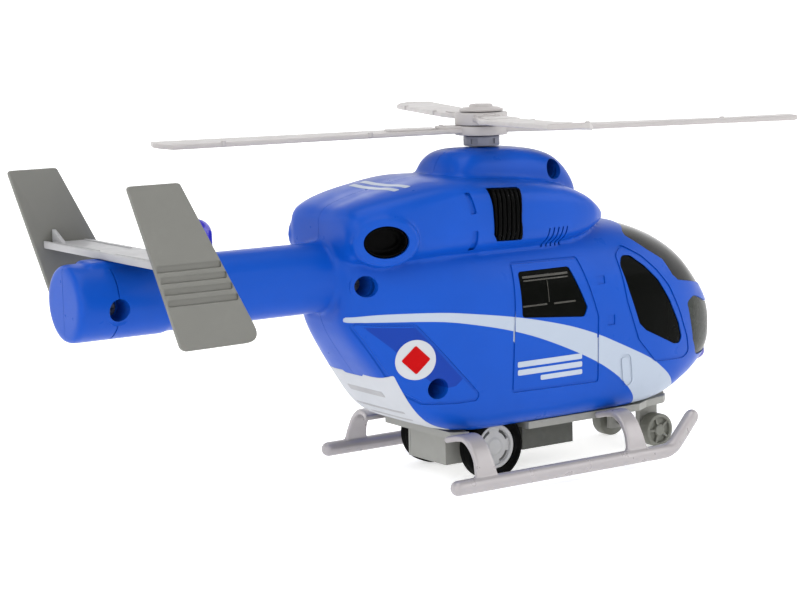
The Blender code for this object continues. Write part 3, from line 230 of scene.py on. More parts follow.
def prism(outline, axis, low, high):
    """Extrudes an outline of (a, b) pairs along an axis; a and b are the other two axes in order."""
    place = PLACES[axis]
    return bridged([[place(level, a, b) for a, b in outline] for level in sorted((low, high))])


def rectangle(a, b):
    return [(a[0], b[0]), (a[1], b[0]), (a[1], b[1]), (a[0], b[1])]


def box(x, y, z):
    return prism(rectangle(x, y), "Z", *z)


def circle(radius, count, centre=(0.0, 0.0)):
    angles = [2 * math.pi * i / count for i in range(count)]
    return [(centre[0] + radius * math.cos(a), centre[1] + radius * math.sin(a)) for a in angles]


def cylinder(radius, axis, low, high, centre=(0.0, 0.0), segments=48):
    return prism(circle(radius, segments, centre), axis, low, high)


def revolved(profile, axis, centre=(0.0, 0.0), segments=72):
    """Spins a closed profile of (radius, offset) pairs; radius 0 lies on the axis."""
    bm = bmesh.new()
    place = PLACES[axis]
    rows = []
    for radius, offset in profile:
        points = circle(radius, segments) if radius else [(0.0, 0.0)]
        rows.append([bm.verts.new(place(offset, a + centre[0], b + centre[1])) for a, b in points])
    for first, second in zip(rows, rows[1:] + rows[:1]):
        band(bm, first, second)
    return new_object("revolved", bm)


def rounded(outline, radii, steps=5):
    """The outline with its corners replaced by arcs, as far as its sides leave room.

    radii is one radius for every corner, or a tuple with one for each.
    """
    points = [Vector(point) for point in outline]
    if not isinstance(radii, tuple):
        radii = (radii,) * len(points)
    result = []
    for i, (corner, radius) in enumerate(zip(points, radii)):
        back = points[i - 1] - corner
        ahead = points[(i + 1) % len(points)] - corner
        half = back.angle(ahead) / 2
        reach = min(radius / math.tan(half), back.length * 0.45, ahead.length * 0.45)
        start = corner + back.normalized() * reach
        end = corner + ahead.normalized() * reach
        for step in range(steps + 1):
            t = step / steps
            result.append(tuple(start * (1 - t) ** 2 + corner * 2 * t * (1 - t) + end * t**2))
    return result


def shrunk(outline, amount):
    """Moves every side of an outline inward by amount, or outward if it is negative."""
    points = [Vector(point) for point in outline]
    area = sum(p.x * q.y - q.x * p.y for p, q in zip(points, points[1:] + points[:1]))
    turn = math.copysign(1.0, area)
    result = []
    for i, point in enumerate(points):
        before = (point - points[i - 1]).normalized()
        after = (points[(i + 1) % len(points)] - point).normalized()
        first = Vector((-before.y, before.x)) * turn
        second = Vector((-after.y, after.x)) * turn
        bisector = (first + second).normalized()
        result.append(tuple(point + bisector * amount / max(0.35, bisector.dot(first))))
    return result


def smooth_rows(table, count):
    """Catmull-Rom rows between the rows of a table, spaced evenly along it."""
    rows = np.array(table, float)
    padded = np.vstack((2 * rows[0] - rows[1], rows, 2 * rows[-1] - rows[-2]))
    result = []
    for position in np.linspace(0.0, len(rows) - 1.0, count):
        index = min(int(position), len(rows) - 2)
        t = position - index
        p0, p1, p2, p3 = padded[index : index + 4]
        curve = 2 * p1 + (p2 - p0) * t + (2 * p0 - 5 * p1 + 4 * p2 - p3) * t**2
        result.append(tuple((curve + (3 * p1 - p0 - 3 * p2 + p3) * t**3) / 2))
    return result


# ---------------------------------------------------------------- materials


def node(tree, kind, **inputs):
    """Adds a shader node and sets its inputs; a socket given as an input becomes a link."""
    made = tree.nodes.new(f"ShaderNode{kind}")
    for name, value in inputs.items():
        socket = made.inputs[int(name[1:]) if name[1:].isdigit() else name.replace("_", " ")]
        if isinstance(value, bpy.types.NodeSocket):
            tree.links.new(value, socket)
        else:
            socket.default_value = value
    return made


def noise(tree, scale, detail=3.0):
    place = node(tree, "TexCoord").outputs["Object"]
    return node(tree, "TexNoise", Vector=place, Scale=scale, Detail=detail).outputs["Fac"]


def ranged(tree, value, low, high, to_low, to_high):
    made = node(tree, "MapRange", Value=value)
    names = ("From Min", "From Max", "To Min", "To Max")
    for name, number in zip(names, (low, high, to_low, to_high)):
        made.inputs[name].default_value = number
    return made.outputs["Result"]


def mixed(tree, factor, first, second):
    made = tree.nodes.new("ShaderNodeMix")
    made.data_type = "RGBA"
    for index, value in ((0, factor), (6, first), (7, second)):
        if isinstance(value, bpy.types.NodeSocket):
            tree.links.new(value, made.inputs[index])
        elif index:
            made.inputs[index].default_value = (*value, 1.0)
        else:
            made.inputs[index].default_value = value
    return made.outputs[2]


MATERIALS = {}


def scaled(colour, factor):
    return tuple(min(1.0, value * factor) for value in colour)


def material(
    name,
    colour,
    roughness,
    metallic=0.0,
    coat=0.0,
    grain=1400.0,
    bump=0.06,
    wear=0.35,
    patches=0.10,
    prints=(),
    **settings,
):
    """Adds a moulded material: cloudy colour, fine grain, uneven gloss and paler worn edges.

    prints are (attribute, colour) pairs: that colour shows where the mesh attribute is above zero.
    """
    made = bpy.data.materials.new(name)
    made.use_nodes = True
    tree = made.node_tree
    shader = tree.nodes["Principled BSDF"]
    clouds = noise(tree, 55.0)
    cloudy = ranged(tree, clouds, 0.35, 0.65, 0.0, 1.0)
    base = mixed(tree, cloudy, scaled(colour, 1 - patches), scaled(colour, 1 + patches))
    for attribute, ink in prints:
        reader = tree.nodes.new("ShaderNodeAttribute")
        reader.attribute_name = attribute
        inked = ranged(tree, reader.outputs["Fac"], -0.04, 0.04, 0.0, 1.0)
        base = mixed(tree, inked, base, ink)
    pointy = node(tree, "NewGeometry").outputs["Pointiness"]
    edges = ranged(tree, pointy, 0.52, 0.60, 0.0, wear)
    scuffs = ranged(tree, noise(tree, 420.0, 6.0), 0.45, 0.7, 0.0, 1.0)
    worn = node(tree, "Math", _0=edges, _1=scuffs)
    worn.operation = "MULTIPLY"
    base = mixed(tree, worn.outputs[0], base, tuple(0.25 + 0.75 * value for value in colour))
    tree.links.new(base, shader.inputs["Base Color"])
    gloss = ranged(tree, noise(tree, 180.0, 5.0), 0.3, 0.7, roughness * 0.85, roughness * 1.2)
    tree.links.new(gloss, shader.inputs["Roughness"])
    relief = node(tree, "Bump", Height=noise(tree, grain, 2.0), Strength=bump, Distance=0.0002)
    tree.links.new(relief.outputs[0], shader.inputs["Normal"])
    shader.inputs["Metallic"].default_value = metallic
    shader.inputs["Coat Weight"].default_value = coat
    for setting, value in settings.items():
        shader.inputs[setting.replace("_", " ")].default_value = value
    MATERIALS[name] = made
    return made


WHITE_INK = (0.36, 0.41, 0.49)
# Painted shade: a darker blue laid over part of the quarter panel, standing in for the darker reflection that the
# tilted panel shows.
PAINTED_SHADE_BLUE = (0.0015, 0.032, 0.27)
BLUE = (0.002, 0.060, 0.385)

blue_look = {"bump": 0.03, "patches": 0.03, "wear": 0.0, "IOR": 1.16}
blue_look.update(coat=0.15, Coat_Roughness=0.28)
material("abs_blue", BLUE, 0.32, prints=(("panel", PAINTED_SHADE_BLUE), ("stripe", WHITE_INK)), **blue_look)
material("glass_black", (0.0015, 0.0018, 0.0014), 0.08, bump=0.008, wear=0.02, IOR=1.09)
material("glass_screen", (0.004, 0.004, 0.0035), 0.10, bump=0.008, wear=0.02, IOR=1.28)
material("glass_smoke", (0.016, 0.020, 0.015), 0.26, bump=0.02, wear=0.02, IOR=1.18)
material("gloss_black", (0.0012, 0.0012, 0.0012), 0.20, bump=0.02, wear=0.02, IOR=1.1)
# The rails' grey is partly painted highlight: a lighter tone than the glass for the shine the ridged rails catch.
material("rail_highlight_grey", (0.045, 0.043, 0.037), 0.30, bump=0.04, wear=0.05, IOR=1.3)
material("trim_black", (0.004, 0.004, 0.0045), 0.38, bump=0.05, wear=0.05, IOR=1.3)
material("rotor_grey", (0.385, 0.365, 0.36), 0.42, bump=0.05, patches=0.02, wear=0.08, IOR=1.4)
material("collar_grey", (0.16, 0.165, 0.21), 0.42, bump=0.06, patches=0.03, wear=0.1)
material("tail_grey", (0.135, 0.135, 0.122), 0.45, bump=0.06, patches=0.02, wear=0.03, IOR=1.4)
material("wing_grey", (0.34, 0.34, 0.35), 0.42, bump=0.06, patches=0.02, wear=0.03, IOR=1.4)
material("skid_grey", (0.34, 0.32, 0.325), 0.30, metallic=0.3, bump=0.06, patches=0.02, wear=0.01)
# Painted shade: a darker grey for the base plate and gearbox, which sit in the shade under the fuselage.
material("belly_painted_shade_grey", (0.25, 0.25, 0.23), 0.42, bump=0.06, patches=0.02, wear=0.04, IOR=1.4)
material("tyre_rubber", (0.0012, 0.0012, 0.0012), 0.70, bump=0.15, grain=2200.0, wear=0.03, IOR=1.12)
material("wheel_grey", (0.37, 0.37, 0.37), 0.42, bump=0.06, patches=0.02, wear=0.1, IOR=1.4)
material("caster_grey", (0.145, 0.147, 0.125), 0.45, bump=0.08, patches=0.02, wear=0.1, IOR=1.4)
material("box_grey", (0.065, 0.067, 0.059), 0.50, bump=0.06, patches=0.02, wear=0.03, IOR=1.4)
lens_look = {"Transmission_Weight": 0.25, "Subsurface_Weight": 0.25, "Subsurface_Scale": 0.004}
material("lens_violet", (0.03, 0.018, 0.42), 0.10, coat=0.3, bump=0.02, wear=0.1, **lens_look)
material("steel", (0.12, 0.12, 0.125), 0.36, metallic=1.0, bump=0.10, grain=900.0)
material("gear_white", (0.60, 0.60, 0.56), 0.42, bump=0.08)
material("brass", (0.60, 0.42, 0.16), 0.26, metallic=1.0, bump=0.10)
material("board_green", (0.02, 0.16, 0.06), 0.42, coat=0.3, bump=0.25, grain=600.0)
material("paper", (0.43, 0.445, 0.47), 0.55, bump=0.15, grain=700.0, patches=0.02, wear=0.05)
material("print_white", WHITE_INK, 0.38, bump=0.05, patches=0.03, wear=0.05)
material("print_grey", (0.30, 0.30, 0.31), 0.50, bump=0.05, patches=0.03, wear=0.05)
material("print_red", (0.40, 0.003, 0.004), 0.38, bump=0.05, patches=0.03, wear=0.05, IOR=1.12)

# Materials that share the slot of another one.
SLOTS = {
    "paper": "gear_white",
    "print_white": "abs_blue",
    "print_grey": "gear_white",
    "print_red": "abs_blue",
    "glass_screen": "glass_black",
    "glass_smoke": "glass_black",
    "gloss_black": "trim_black",
    "rail_highlight_grey": "glass_black",
    "collar_grey": "skid_grey",
    "caster_grey": "box_grey",
    "wing_grey": "tail_grey",
}


def finished(obj, name, slot, body="airframe", replaces=()):
    """Names a piece, puts it in the row frame in metres, and gives it its material and its body."""
    obj.name = name
    obj.data.name = name
    obj.data.transform(Matrix.Translation((0.0, HUB_Y, 0.0)) @ Matrix.Scale(MM, 4))
    obj.data.materials.clear()
    obj.data.materials.append(MATERIALS[slot])
    obj.data.shade_smooth()
    obj.data.set_sharp_from_angle(angle=SHARP_ANGLE)
    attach(obj, body)
    SLOTS.get(slot, slot)
    if replaces:
        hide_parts(*replaces)
    return obj


# ---------------------------------------------------------------- airframe shapes

# Rows of y, bottom z, top z, half width, roundness exponent of the top and of the bottom.
FUSELAGE = (
    (-92.0, 35.4, 40.5, 2.4, 2.7, 2.6),
    (-91.0, 33.0, 45.0, 6.5, 2.7, 2.8),
    (-88.6, 30.2, 50.2, 10.8, 2.7, 3.0),
    (-84.4, 27.4, 55.6, 15.0, 2.7, 3.2),
    (-77.4, 24.0, 63.6, 19.2, 2.7, 3.6),
    (-70.0, 21.4, 70.0, 22.3, 2.7, 4.2),
    (-60.0, 18.6, 75.4, 24.8, 2.7, 5.2),
    (-48.0, 17.4, 79.0, 26.3, 2.7, 6.4),
    (-30.0, 17.15, 80.6, 27.0, 2.7, 7.0),
    (0.0, 17.15, 81.0, 27.0, 2.7, 7.0),
    (20.0, 17.25, 81.0, 26.4, 2.7, 7.0),
    (33.0, 19.4, 81.0, 24.8, 2.7, 6.4),
    (41.0, 23.8, 80.9, 23.0, 2.7, 5.6),
    (49.0, 33.5, 80.7, 20.6, 2.7, 5.0),
    (56.0, 43.0, 80.4, 17.8, 2.7, 4.6),
    (61.0, 50.6, 80.0, 14.6, 2.7, 4.6),
    (63.4, 56.0, 79.4, 11.8, 2.7, 4.6),
)
COWLING = (
    (-40.5, 80.6, 82.4, 9.0, 4.0, 3.2),
    (-37.0, 79.6, 84.2, 16.0, 4.0, 3.2),
    (-31.0, 77.2, 88.2, 21.2, 4.0, 3.2),
    (-26.0, 75.2, 91.2, 23.4, 4.0, 3.2),
    (-18.0, 73.6, 94.0, 25.0, 4.0, 3.2),
    (-5.0, 72.8, 96.2, 26.2, 4.0, 3.2),
    (12.0, 72.6, 97.6, 26.4, 4.0, 3.2),
    (28.0, 72.4, 98.2, 25.6, 4.0, 3.2),
    (42.0, 72.4, 96.2, 24.2, 4.2, 3.4),
    (53.0, 72.8, 93.8, 22.0, 4.6, 4.0),
    (60.0, 73.8, 91.4, 19.6, 4.6, 4.6),
    (62.4, 75.2, 89.4, 17.8, 4.4, 4.6),
    (63.2, 77.4, 87.2, 15.6, 4.2, 4.6),
)
FAIRING = (
    (-34.6, 84.0, 90.2, 4.8, 2.8, 4.0),
    (-31.0, 84.0, 95.4, 8.8, 2.8, 4.0),
    (-25.8, 84.0, 100.8, 11.4, 2.9, 4.0),
    (-19.6, 84.0, 104.0, 13.0, 3.0, 4.0),
    (-8.0, 84.0, 105.8, 14.0, 3.0, 4.0),
    (6.0, 84.0, 106.0, 14.2, 3.2, 4.0),
    (12.0, 84.0, 105.7, 13.9, 3.4, 4.0),
    (16.0, 84.0, 104.2, 13.2, 3.4, 4.0),
    (18.6, 84.0, 101.0, 12.3, 3.4, 4.0),
    (20.2, 84.0, 95.0, 11.2, 3.4, 4.0),
)
VALLEY_DEPTH = 0.7
VALLEY_HALF_WIDTH = 8.0
VALLEY_Y = (16.0, 40.0)
WALL = 2.0
BOOM_Z = 69.0
BOOM_RADIUS = 11.0
BOOM_START = 52.0
CAN_START = 119.6
CAN_END = 150.4
CAN_RADIUS = 11.5
CAN_LINE_Y = (137.8, 138.2)
PYLON = ((-5.0, 5.0), (122.5, 143.5), (69.0, 81.0))
SEAM = 0.07
SHELL_VOXEL = 0.7
SHELL_ROUNDS = 9
INSIDE_VOXEL = 1.3


def section(row, segments, inset):
    """One closed cross-section: superellipse quarters with their own roundness above and below."""
    y, bottom, top, half, round_top, round_bottom = row
    middle = (bottom + top) / 2
    half = max(half - inset, 0.6)
    up = max(top - middle - inset, 0.6)
    down = max(middle - bottom - inset, 0.6)
    ring = []
    for i in range(segments):
        angle = 2 * math.pi * (i + 0.5) / segments
        c, s = math.cos(angle), math.sin(angle)
        power = 2.0 / (round_top if s > 0 else round_bottom)
        x = half * math.copysign(abs(c) ** power, c)
        z = (up if s > 0 else down) * math.copysign(abs(s) ** power, s)
        ring.append((x, y, middle + z))
    return ring


def loft(table, count, segments, inset):
    rows = smooth_rows(table, count)
    if inset > 0.0:
        low, high = rows[0][0] + 2 * inset, rows[-1][0] - inset
        rows = [row for row in rows if low < row[0] < high]
    return [section(row, segments, inset) for row in rows]


def fuselage(inset=0.0):
    return bridged(loft(FUSELAGE, 120, 120, inset))


def cowling(inset=0.0):
    """The engine cowling, with a shallow valley along the top of its rear half."""
    rings = loft(COWLING, 90, 120, inset)
    start, end = VALLEY_Y
    result = []
    for ring in rings:
        along = min(1.0, max(0.0, (ring[0][1] - start) / (end - start)))
        depth = VALLEY_DEPTH * along * along * (3 - 2 * along)
        middle = (ring[0][2] + ring[len(ring) // 2][2]) / 2
        dipped = []
        for x, y, z in ring:
            dip = depth * math.exp(-((x / VALLEY_HALF_WIDTH) ** 2)) if z > middle else 0.0
            dipped.append((x, y, z - dip))
        result.append(dipped)
    return bridged(result)


def fairing(inset=0.0):
    return bridged(loft(FAIRING, 70, 96, inset))


def boom(inset=0.0):
    end = CAN_END - inset
    r, big = BOOM_RADIUS - inset, CAN_RADIUS - inset
    profile = [(r, BOOM_START), (r, CAN_START), (big, CAN_START + 0.6), (big, end - 1.6)]
    for a in (0.4, 0.8, 1.2, 1.57):
        profile.append((big - 1.6 + 1.6 * math.cos(a), end - 1.6 + 1.6 * math.sin(a)))
    rings = [[(x, y, z) for x, z in circle(radius, 96, (0.0, BOOM_Z))] for radius, y in profile]
    return bridged(rings)


EXHAUST_CENTRE = (21.6, 52.8, 80.8)
EXHAUST_HEADING = math.radians(20)
EXHAUST_HALF = (7.0, 4.8)
EXHAUST_LIP = (10.8, 7.9)


def exhaust_tube(rows):
    """A starboard oval solid through (distance along the exhaust axis, half sizes) rows."""
    cx, cy, cz = EXHAUST_CENTRE
    along = Vector((-math.cos(EXHAUST_HEADING), math.sin(EXHAUST_HEADING), 0.0))
    across = Vector((math.sin(EXHAUST_HEADING), math.cos(EXHAUST_HEADING), 0.0))
    rings = []
    for distance, half in rows:
        centre = Vector((-cx, cy, cz)) + along * distance
        ring = [across * a * half[0] + Vector((0, 0, b * half[1])) for a, b in circle(1.0, 72)]
        rings.append([centre + offset for offset in ring])
    return bridged(rings)


def grown(half, amount):
    return tuple(value + amount for value in half)


def exhaust_lip():
    rows = [(-6.0, EXHAUST_LIP), (0.2, EXHAUST_LIP)]
    for angle in (25, 50, 70, 90):
        turn = math.radians(angle)
        rows.append((0.2 + 1.5 * math.sin(turn), grown(EXHAUST_LIP, -1.6 * (1 - math.cos(turn)))))
    return exhaust_tube(rows)


# ---------------------------------------------------------------- openings and lines

# Outlines seen from the side, as (y, z) pairs.
CABIN_DOOR = ((6.8, 70.3), (-19.6, 69.9), (-26.0, 50.4), (-25.5, 29.1), (9.2, 29.7))
CABIN_WINDOW = ((4.8, 67.5), (-15.8, 67.5), (-21.8, 53.8), (-20.4, 50.8), (4.8, 53.0))
FRONT_DOOR = (
    (-36.0, 69.6), (-40.0, 72.0), (-47.5, 67.9), (-53.3, 62.8), (-58.5, 57.0), (-63.5, 48.4),
    (-67.9, 38.7), (-69.0, 33.4), (-66.0, 32.0), (-50.8, 32.7), (-43.5, 40.5), (-38.5, 54.1),
)
DOOR_WINDOW = (
    (-37.2, 66.0), (-38.8, 69.0), (-42.8, 68.6), (-48.1, 64.8), (-53.7, 59.6), (-58.6, 52.6),
    (-63.4, 44.0), (-65.0, 39.0), (-63.6, 37.0), (-60.6, 37.2), (-47.0, 43.4), (-44.0, 46.0),
    (-40.0, 56.5),
)
WINDSHIELD = (
    (-50.5, 82.0), (-47.7, 77.4), (-45.0, 75.8), (-44.8, 74.6), (-51.3, 69.8), (-58.0, 65.8),
    (-61.4, 60.4), (-64.0, 58.4), (-74.0, 56.6), (-87.5, 53.4), (-97.0, 54.5), (-97.0, 92.0),
    (-50.5, 92.0),
)
# Chin window seen from the front: distance from the centre plane, z.
CHIN_WINDOW = (
    (22.8, 50.4), (21.0, 52.4), (15.6, 48.8), (3.4, 46.4), (2.0, 38.0), (4.6, 33.4), (13.0, 31.0),
    (19.8, 31.0), (21.6, 37.0),
)
# Windows in each side, seen from the side: outline and rounding.
SIDE_WINDOWS = {"cabin": (CABIN_WINDOW, 1.4), "door": (DOOR_WINDOW, 2.6)}
SCREEN_ROUNDING = 1.2
CHIN_ROUNDING = 2.8
CHIN_REACH_Y = (-110.0, -66.0)
THROUGH = 40.0
QUARTER_PANEL = (
    (62.0, 56.0), (55.0, 55.0), (43.0, 54.2), (22.0, 30.6), (22.6, 28.8), (29.7, 28.6),
    (40.7, 29.2), (47.0, 33.0),
)
SQUARES = (rectangle((-29.8, -26.4), (60.7, 63.3)), rectangle((-33.2, -30.0), (46.9, 50.2)))
OVAL = ((-35.2, 36.0), (-39.4, 36.0), (-40.4, 26.4), (-36.2, 26.4))
COWL_SLOTS = (
    ((25.0, 94.0), (23.0, 94.0), (21.2, 87.3), (23.6, 87.3)),
    ((23.0, 82.0), (20.8, 82.0), (19.9, 75.6), (22.4, 75.6)),
)
LOUVRES_Y = (-7.6, -9.6, -11.5, -13.4, -15.3)
LOUVRE_Z = (74.0, 80.7)
STRIPE_TOP = (
    (62.6, 57.5), (52.7, 58.1), (34.6, 57.4), (20.9, 55.7), (8.5, 53.7), (-2.6, 51.4),
    (-15.1, 48.2), (-25.8, 44.5), (-34.3, 40.8), (-48.2, 34.3), (-54.3, 30.3), (-59.4, 26.1),
    (-64.0, 20.5), (-67.5, 14.0),
)
STRIPE_BOTTOM = (
    (-46.0, 14.0), (-43.0, 20.5), (-39.3, 25.1), (-34.1, 29.8), (-25.8, 35.2), (-14.9, 40.5),
    (-2.5, 45.6), (8.6, 49.2), (21.0, 52.2), (34.8, 54.6), (52.8, 55.7), (62.5, 55.9),
)
# Outline, seen from the side, of the painted shade on the quarter panel: the tilted panel's darker reflection,
# painted as deeper blue.
PANEL_PAINTED_SHADE = (
    (58.3, 54.4), (50.2, 47.3), (41.4, 38.4), (35.0, 33.4), (30.0, 33.9), (27.6, 36.0), (43.0, 53.4),
)
INTAKE = (
    (16.2, 94.9), (3.4, 94.4), (3.9, 90.0), (4.1, 84.0), (3.2, 77.6), (12.8, 77.9), (14.7, 80.2),
    (15.3, 89.2),
)
# Screws: y, z and the x of the screw head's outer face.
SCREWS = ((57.0, 67.0, -9.6), (36.0, 33.6, -16.0), (138.0, 67.3, -4.6), (-19.8, 98.0, -6.0))
GROOVE = 0.8
GROOVE_DEPTH = 0.35
RECESS_RADIUS = 3.3
BOSS_RADIUS = 4.6
GAP = 0.3


def side_prism(outline, side, near=12.0):
    return prism(outline, "X", side * near, side * 45.0)


def screen_prism(gap=0.0):
    return prism(shrunk(rounded(WINDSHIELD, SCREEN_ROUNDING), gap), "X", -THROUGH, THROUGH)


def chin_prism(side, gap=0.0):
    outline = shrunk(rounded(CHIN_WINDOW, CHIN_ROUNDING), gap)
    return prism([(side * x, z) for x, z in outline], "Y", *CHIN_REACH_Y)


def line_around(outline, side, width=GROOVE):
    """A thin ring that follows an outline, ready to be cut into one side."""
    inner = side_prism(shrunk(outline, width / 2), side, 10.0)
    return cut(side_prism(shrunk(outline, -width / 2), side), inner)


def fuselage_lines(side):
    tools = [
        line_around(rounded(CABIN_DOOR, 0.8), side),
        line_around(rounded(FRONT_DOOR, 3.0), side),
        line_around(rounded(QUARTER_PANEL, 2.5), side),
        line_around(rounded(OVAL, 2.1), side, 1.1),
    ]
    tools += [side_prism(rounded(square, 0.3), side) for square in SQUARES]
    return cut(joined(*tools), fuselage(GROOVE_DEPTH))


def cowling_lines(side):
    tools = [side_prism(rounded(slot, 0.6), side) for slot in COWL_SLOTS]
    for y in LOUVRES_Y:
        tools.append(side_prism(rounded(rectangle((y - 0.3, y + 0.3), LOUVRE_Z), 0.28), side))
    return cut(joined(*tools), cowling(0.7))


def openings(side):
    tools = [side_prism(rounded(*window), side) for window in SIDE_WINDOWS.values()]
    tools += [side_prism(rounded(INTAKE, 0.4), side), chin_prism(side)]
    half = grown(EXHAUST_HALF, 0.2)
    hole = exhaust_tube(((-22.0, half), (10.0, half)))
    tools.append(mirrored(hole) if side > 0 else hole)
    if side > 0:
        bpy.data.objects.remove(hole, do_unlink=True)
    return joined(*tools)


def boss_reach(y, z):
    """How far a screw boss runs so that it ends inside the wall."""
    if y > CAN_START:
        return math.sqrt(BOOM_RADIUS**2 - (z - BOOM_Z) ** 2) - 0.6
    if z > 90.0:
        return 8.6
    return 14.6 if z > 60.0 else 22.4


def outline_distance(points, outline):
    """Signed distance of 2-D points to an outline, positive inside."""
    inside = np.zeros(len(points), bool)
    nearest = np.full(len(points), np.inf)
    corners = np.array(outline, float)
    for a, b in zip(corners, np.roll(corners, -1, axis=0)):
        edge = b - a
        offset = points - a
        t = np.clip(offset @ edge / (edge @ edge), 0.0, 1.0)
        nearest = np.minimum(nearest, np.linalg.norm(offset - t[:, None] * edge, axis=1))
        crossing = (a[1] > points[:, 1]) != (b[1] > points[:, 1])
        slope = np.where(crossing, offset[:, 1] / (edge[1] if edge[1] else 1.0), 0.0)
        inside ^= crossing & (points[:, 0] < a[0] + slope * edge[0])
    return np.where(inside, nearest, -nearest)


def paint(obj, name, outline):
    """Stores how far inside an outline, seen from the side, each vertex lies."""
    points = np.empty(len(obj.data.vertices) * 3, np.float32)
    obj.data.vertices.foreach_get("co", points)
    points = points.reshape(-1, 3)
    values = outline_distance(points[:, 1:].astype(float), outline)
    layer = obj.data.attributes.new(name, "FLOAT", "POINT")
    layer.data.foreach_set("value", np.clip(values, -3.0, 3.0).astype(np.float32))


def skin_tree(obj):
    points = [vertex.co.copy() for vertex in obj.data.vertices]
    return BVHTree.FromPolygons(points, [tuple(face.vertices) for face in obj.data.polygons])


def build_shells():
    """Both airframe halves; returns a search tree of the smooth skin for the decals."""
    lip = exhaust_lip()
    outside = joined(fuselage(), cowling(), fairing(), boom(), box(*PYLON), mirrored(lip), lip)
    whole = remeshed(outside, SHELL_VOXEL, SHELL_ROUNDS)
    skin = skin_tree(whole)
    inside = joined(fuselage(WALL), cowling(WALL), fairing(WALL), boom(WALL))
    cut(whole, remeshed(inside, INSIDE_VOXEL, 2))
    for side in SIDES.values():
        cut(whole, openings(side), fuselage_lines(side), cowling_lines(side))
    low, high = span("nose_light")
    lamp = ellipsoid((low + high) / 2, (high - low) / 2 + Vector((0.7, 0.7, 0.6)))
    ring = revolved(rectangle((CAN_RADIUS - 0.4, 13.0), CAN_LINE_Y), "Y", (0.0, BOOM_Z))
    cut(ring, box((-6.0, 6.0), (130.0, 145.0), (70.0, 90.0)))
    belly = box((-19.0, 19.0), (-50.0, 26.0), (10.0, 26.0))
    cut(whole, screen_prism(), lamp, ring, belly)
    stripe = smooth_rows(STRIPE_TOP, 60) + smooth_rows(STRIPE_BOTTOM, 60)
    for name, side in SIDES.items():
        room = box(sorted((side * SEAM, side * 60.0)), (-120.0, 170.0), (0.0, 130.0))
        half = keep(copy_of(whole), room)
        for y, z, _ in SCREWS:
            boss = cylinder(BOSS_RADIUS, "X", side * SEAM, side * boss_reach(y, z), (y, z))
            if z > 90.0:
                keep(boss, fairing(0.8))
            fuse(half, boss)
        if side < 0:
            for y, z, head in SCREWS:
                cut(half, cylinder(RECESS_RADIUS, "X", -45.0, head + 1.8, (y, z), 64))
        paint(half, "stripe", stripe)
        # Marks where the painted shade of the quarter panel goes.
        paint(half, "panel", PANEL_PAINTED_SHADE)
        finished(half, f"{name}_shell_moulding", "abs_blue", replaces=(f"shell_{name}",))
    bpy.data.objects.remove(whole, do_unlink=True)
    return skin


def ellipsoid(centre, half):
    bm = bmesh.new()
    bmesh.ops.create_uvsphere(bm, u_segments=64, v_segments=32, radius=1.0)
    bmesh.ops.scale(bm, vec=half, verts=bm.verts)
    bmesh.ops.translate(bm, vec=centre, verts=bm.verts)
    return new_object("ellipsoid", bm)


skin = build_shells()

# ---------------------------------------------------------------- windows, grilles and lamps

GLASS_GAP = 0.08
GLASS_SINK = 0.4
GLASS_THICKNESS = 1.2
# Rails moulded on the cabin window: y and z ranges.
RAILS = (
    ((-15.0, 3.2), (65.2, 65.9)),
    ((-14.8, 3.0), (64.2, 64.6)),
    ((-5.4, 4.2), (56.2, 56.7)),
    ((-17.0, -8.2), (56.1, 56.6)),
    ((-6.35, -6.2), (57.0, 64.0)),
)
RIBS = 7
RIB_WIDTH = 1.25


def glass_layer(sink, thickness):
    return cut(fuselage(sink), fuselage(sink + thickness))


def build_windows():
    layer = glass_layer(GLASS_SINK, GLASS_THICKNESS)
    screen = keep(copy_of(layer), screen_prism(GLASS_GAP))
    finished(screen, "windshield_glass", "glass_screen", replaces=("windshield",))
    for name, side in SIDES.items():
        for kind, window in SIDE_WINDOWS.items():
            glass = keep(copy_of(layer), side_prism(shrunk(rounded(*window), GLASS_GAP), side))
            pane = (f"{kind}_window_{name}",)
            finished(glass, f"{name}_{kind}_glass", "glass_black", replaces=pane)
        chin = keep(copy_of(layer), chin_prism(side, GLASS_GAP))
        finished(chin, f"{name}_chin_glass", "glass_smoke", replaces=(f"chin_window_{name}",))
        rails = joined(*[side_prism(rounded(rectangle(*rail), 0.2), side) for rail in RAILS])
        # The rails get a lighter grey, partly painted highlight.
        finished(keep(rails, glass_layer(0.18, 0.6)), f"{name}_window_rails", "rail_highlight_grey")
    bpy.data.objects.remove(layer, do_unlink=True)


def finish_both(starboard, name, node_name):
    """Finishes a black starboard piece and its mirror image on the port side."""
    for side_name, piece in (("port", mirrored(starboard)), ("starboard", starboard)):
        replaces = (f"{node_name}_{side_name}",)
        finished(piece, f"{name}_{side_name}", "gloss_black", replaces=replaces)


def build_intakes():
    """Grilles with upright rounded ribs that follow the bulge of the cowling."""
    outline = shrunk(INTAKE, GAP)
    plate = keep(cut(cowling(0.35), cowling(1.2)), side_prism(outline, -1))
    low, high = INTAKE[2][0] - 0.6, INTAKE[-1][0] + 0.2
    pitch = (high - low) / RIBS
    bars = []
    for i in range(RIBS):
        y = low + (i + 0.5) * pitch
        bars.append(side_prism(rectangle((y - RIB_WIDTH / 2, y + RIB_WIDTH / 2), (74.0, 98.0)), -1))
    ribs = keep(cut(cowling(-0.6), cowling(0.8)), joined(*bars))
    keep(ribs, side_prism(outline, -1))
    finish_both(remeshed(joined(plate, ribs), 0.16, 3), "intake_grille", "intake")


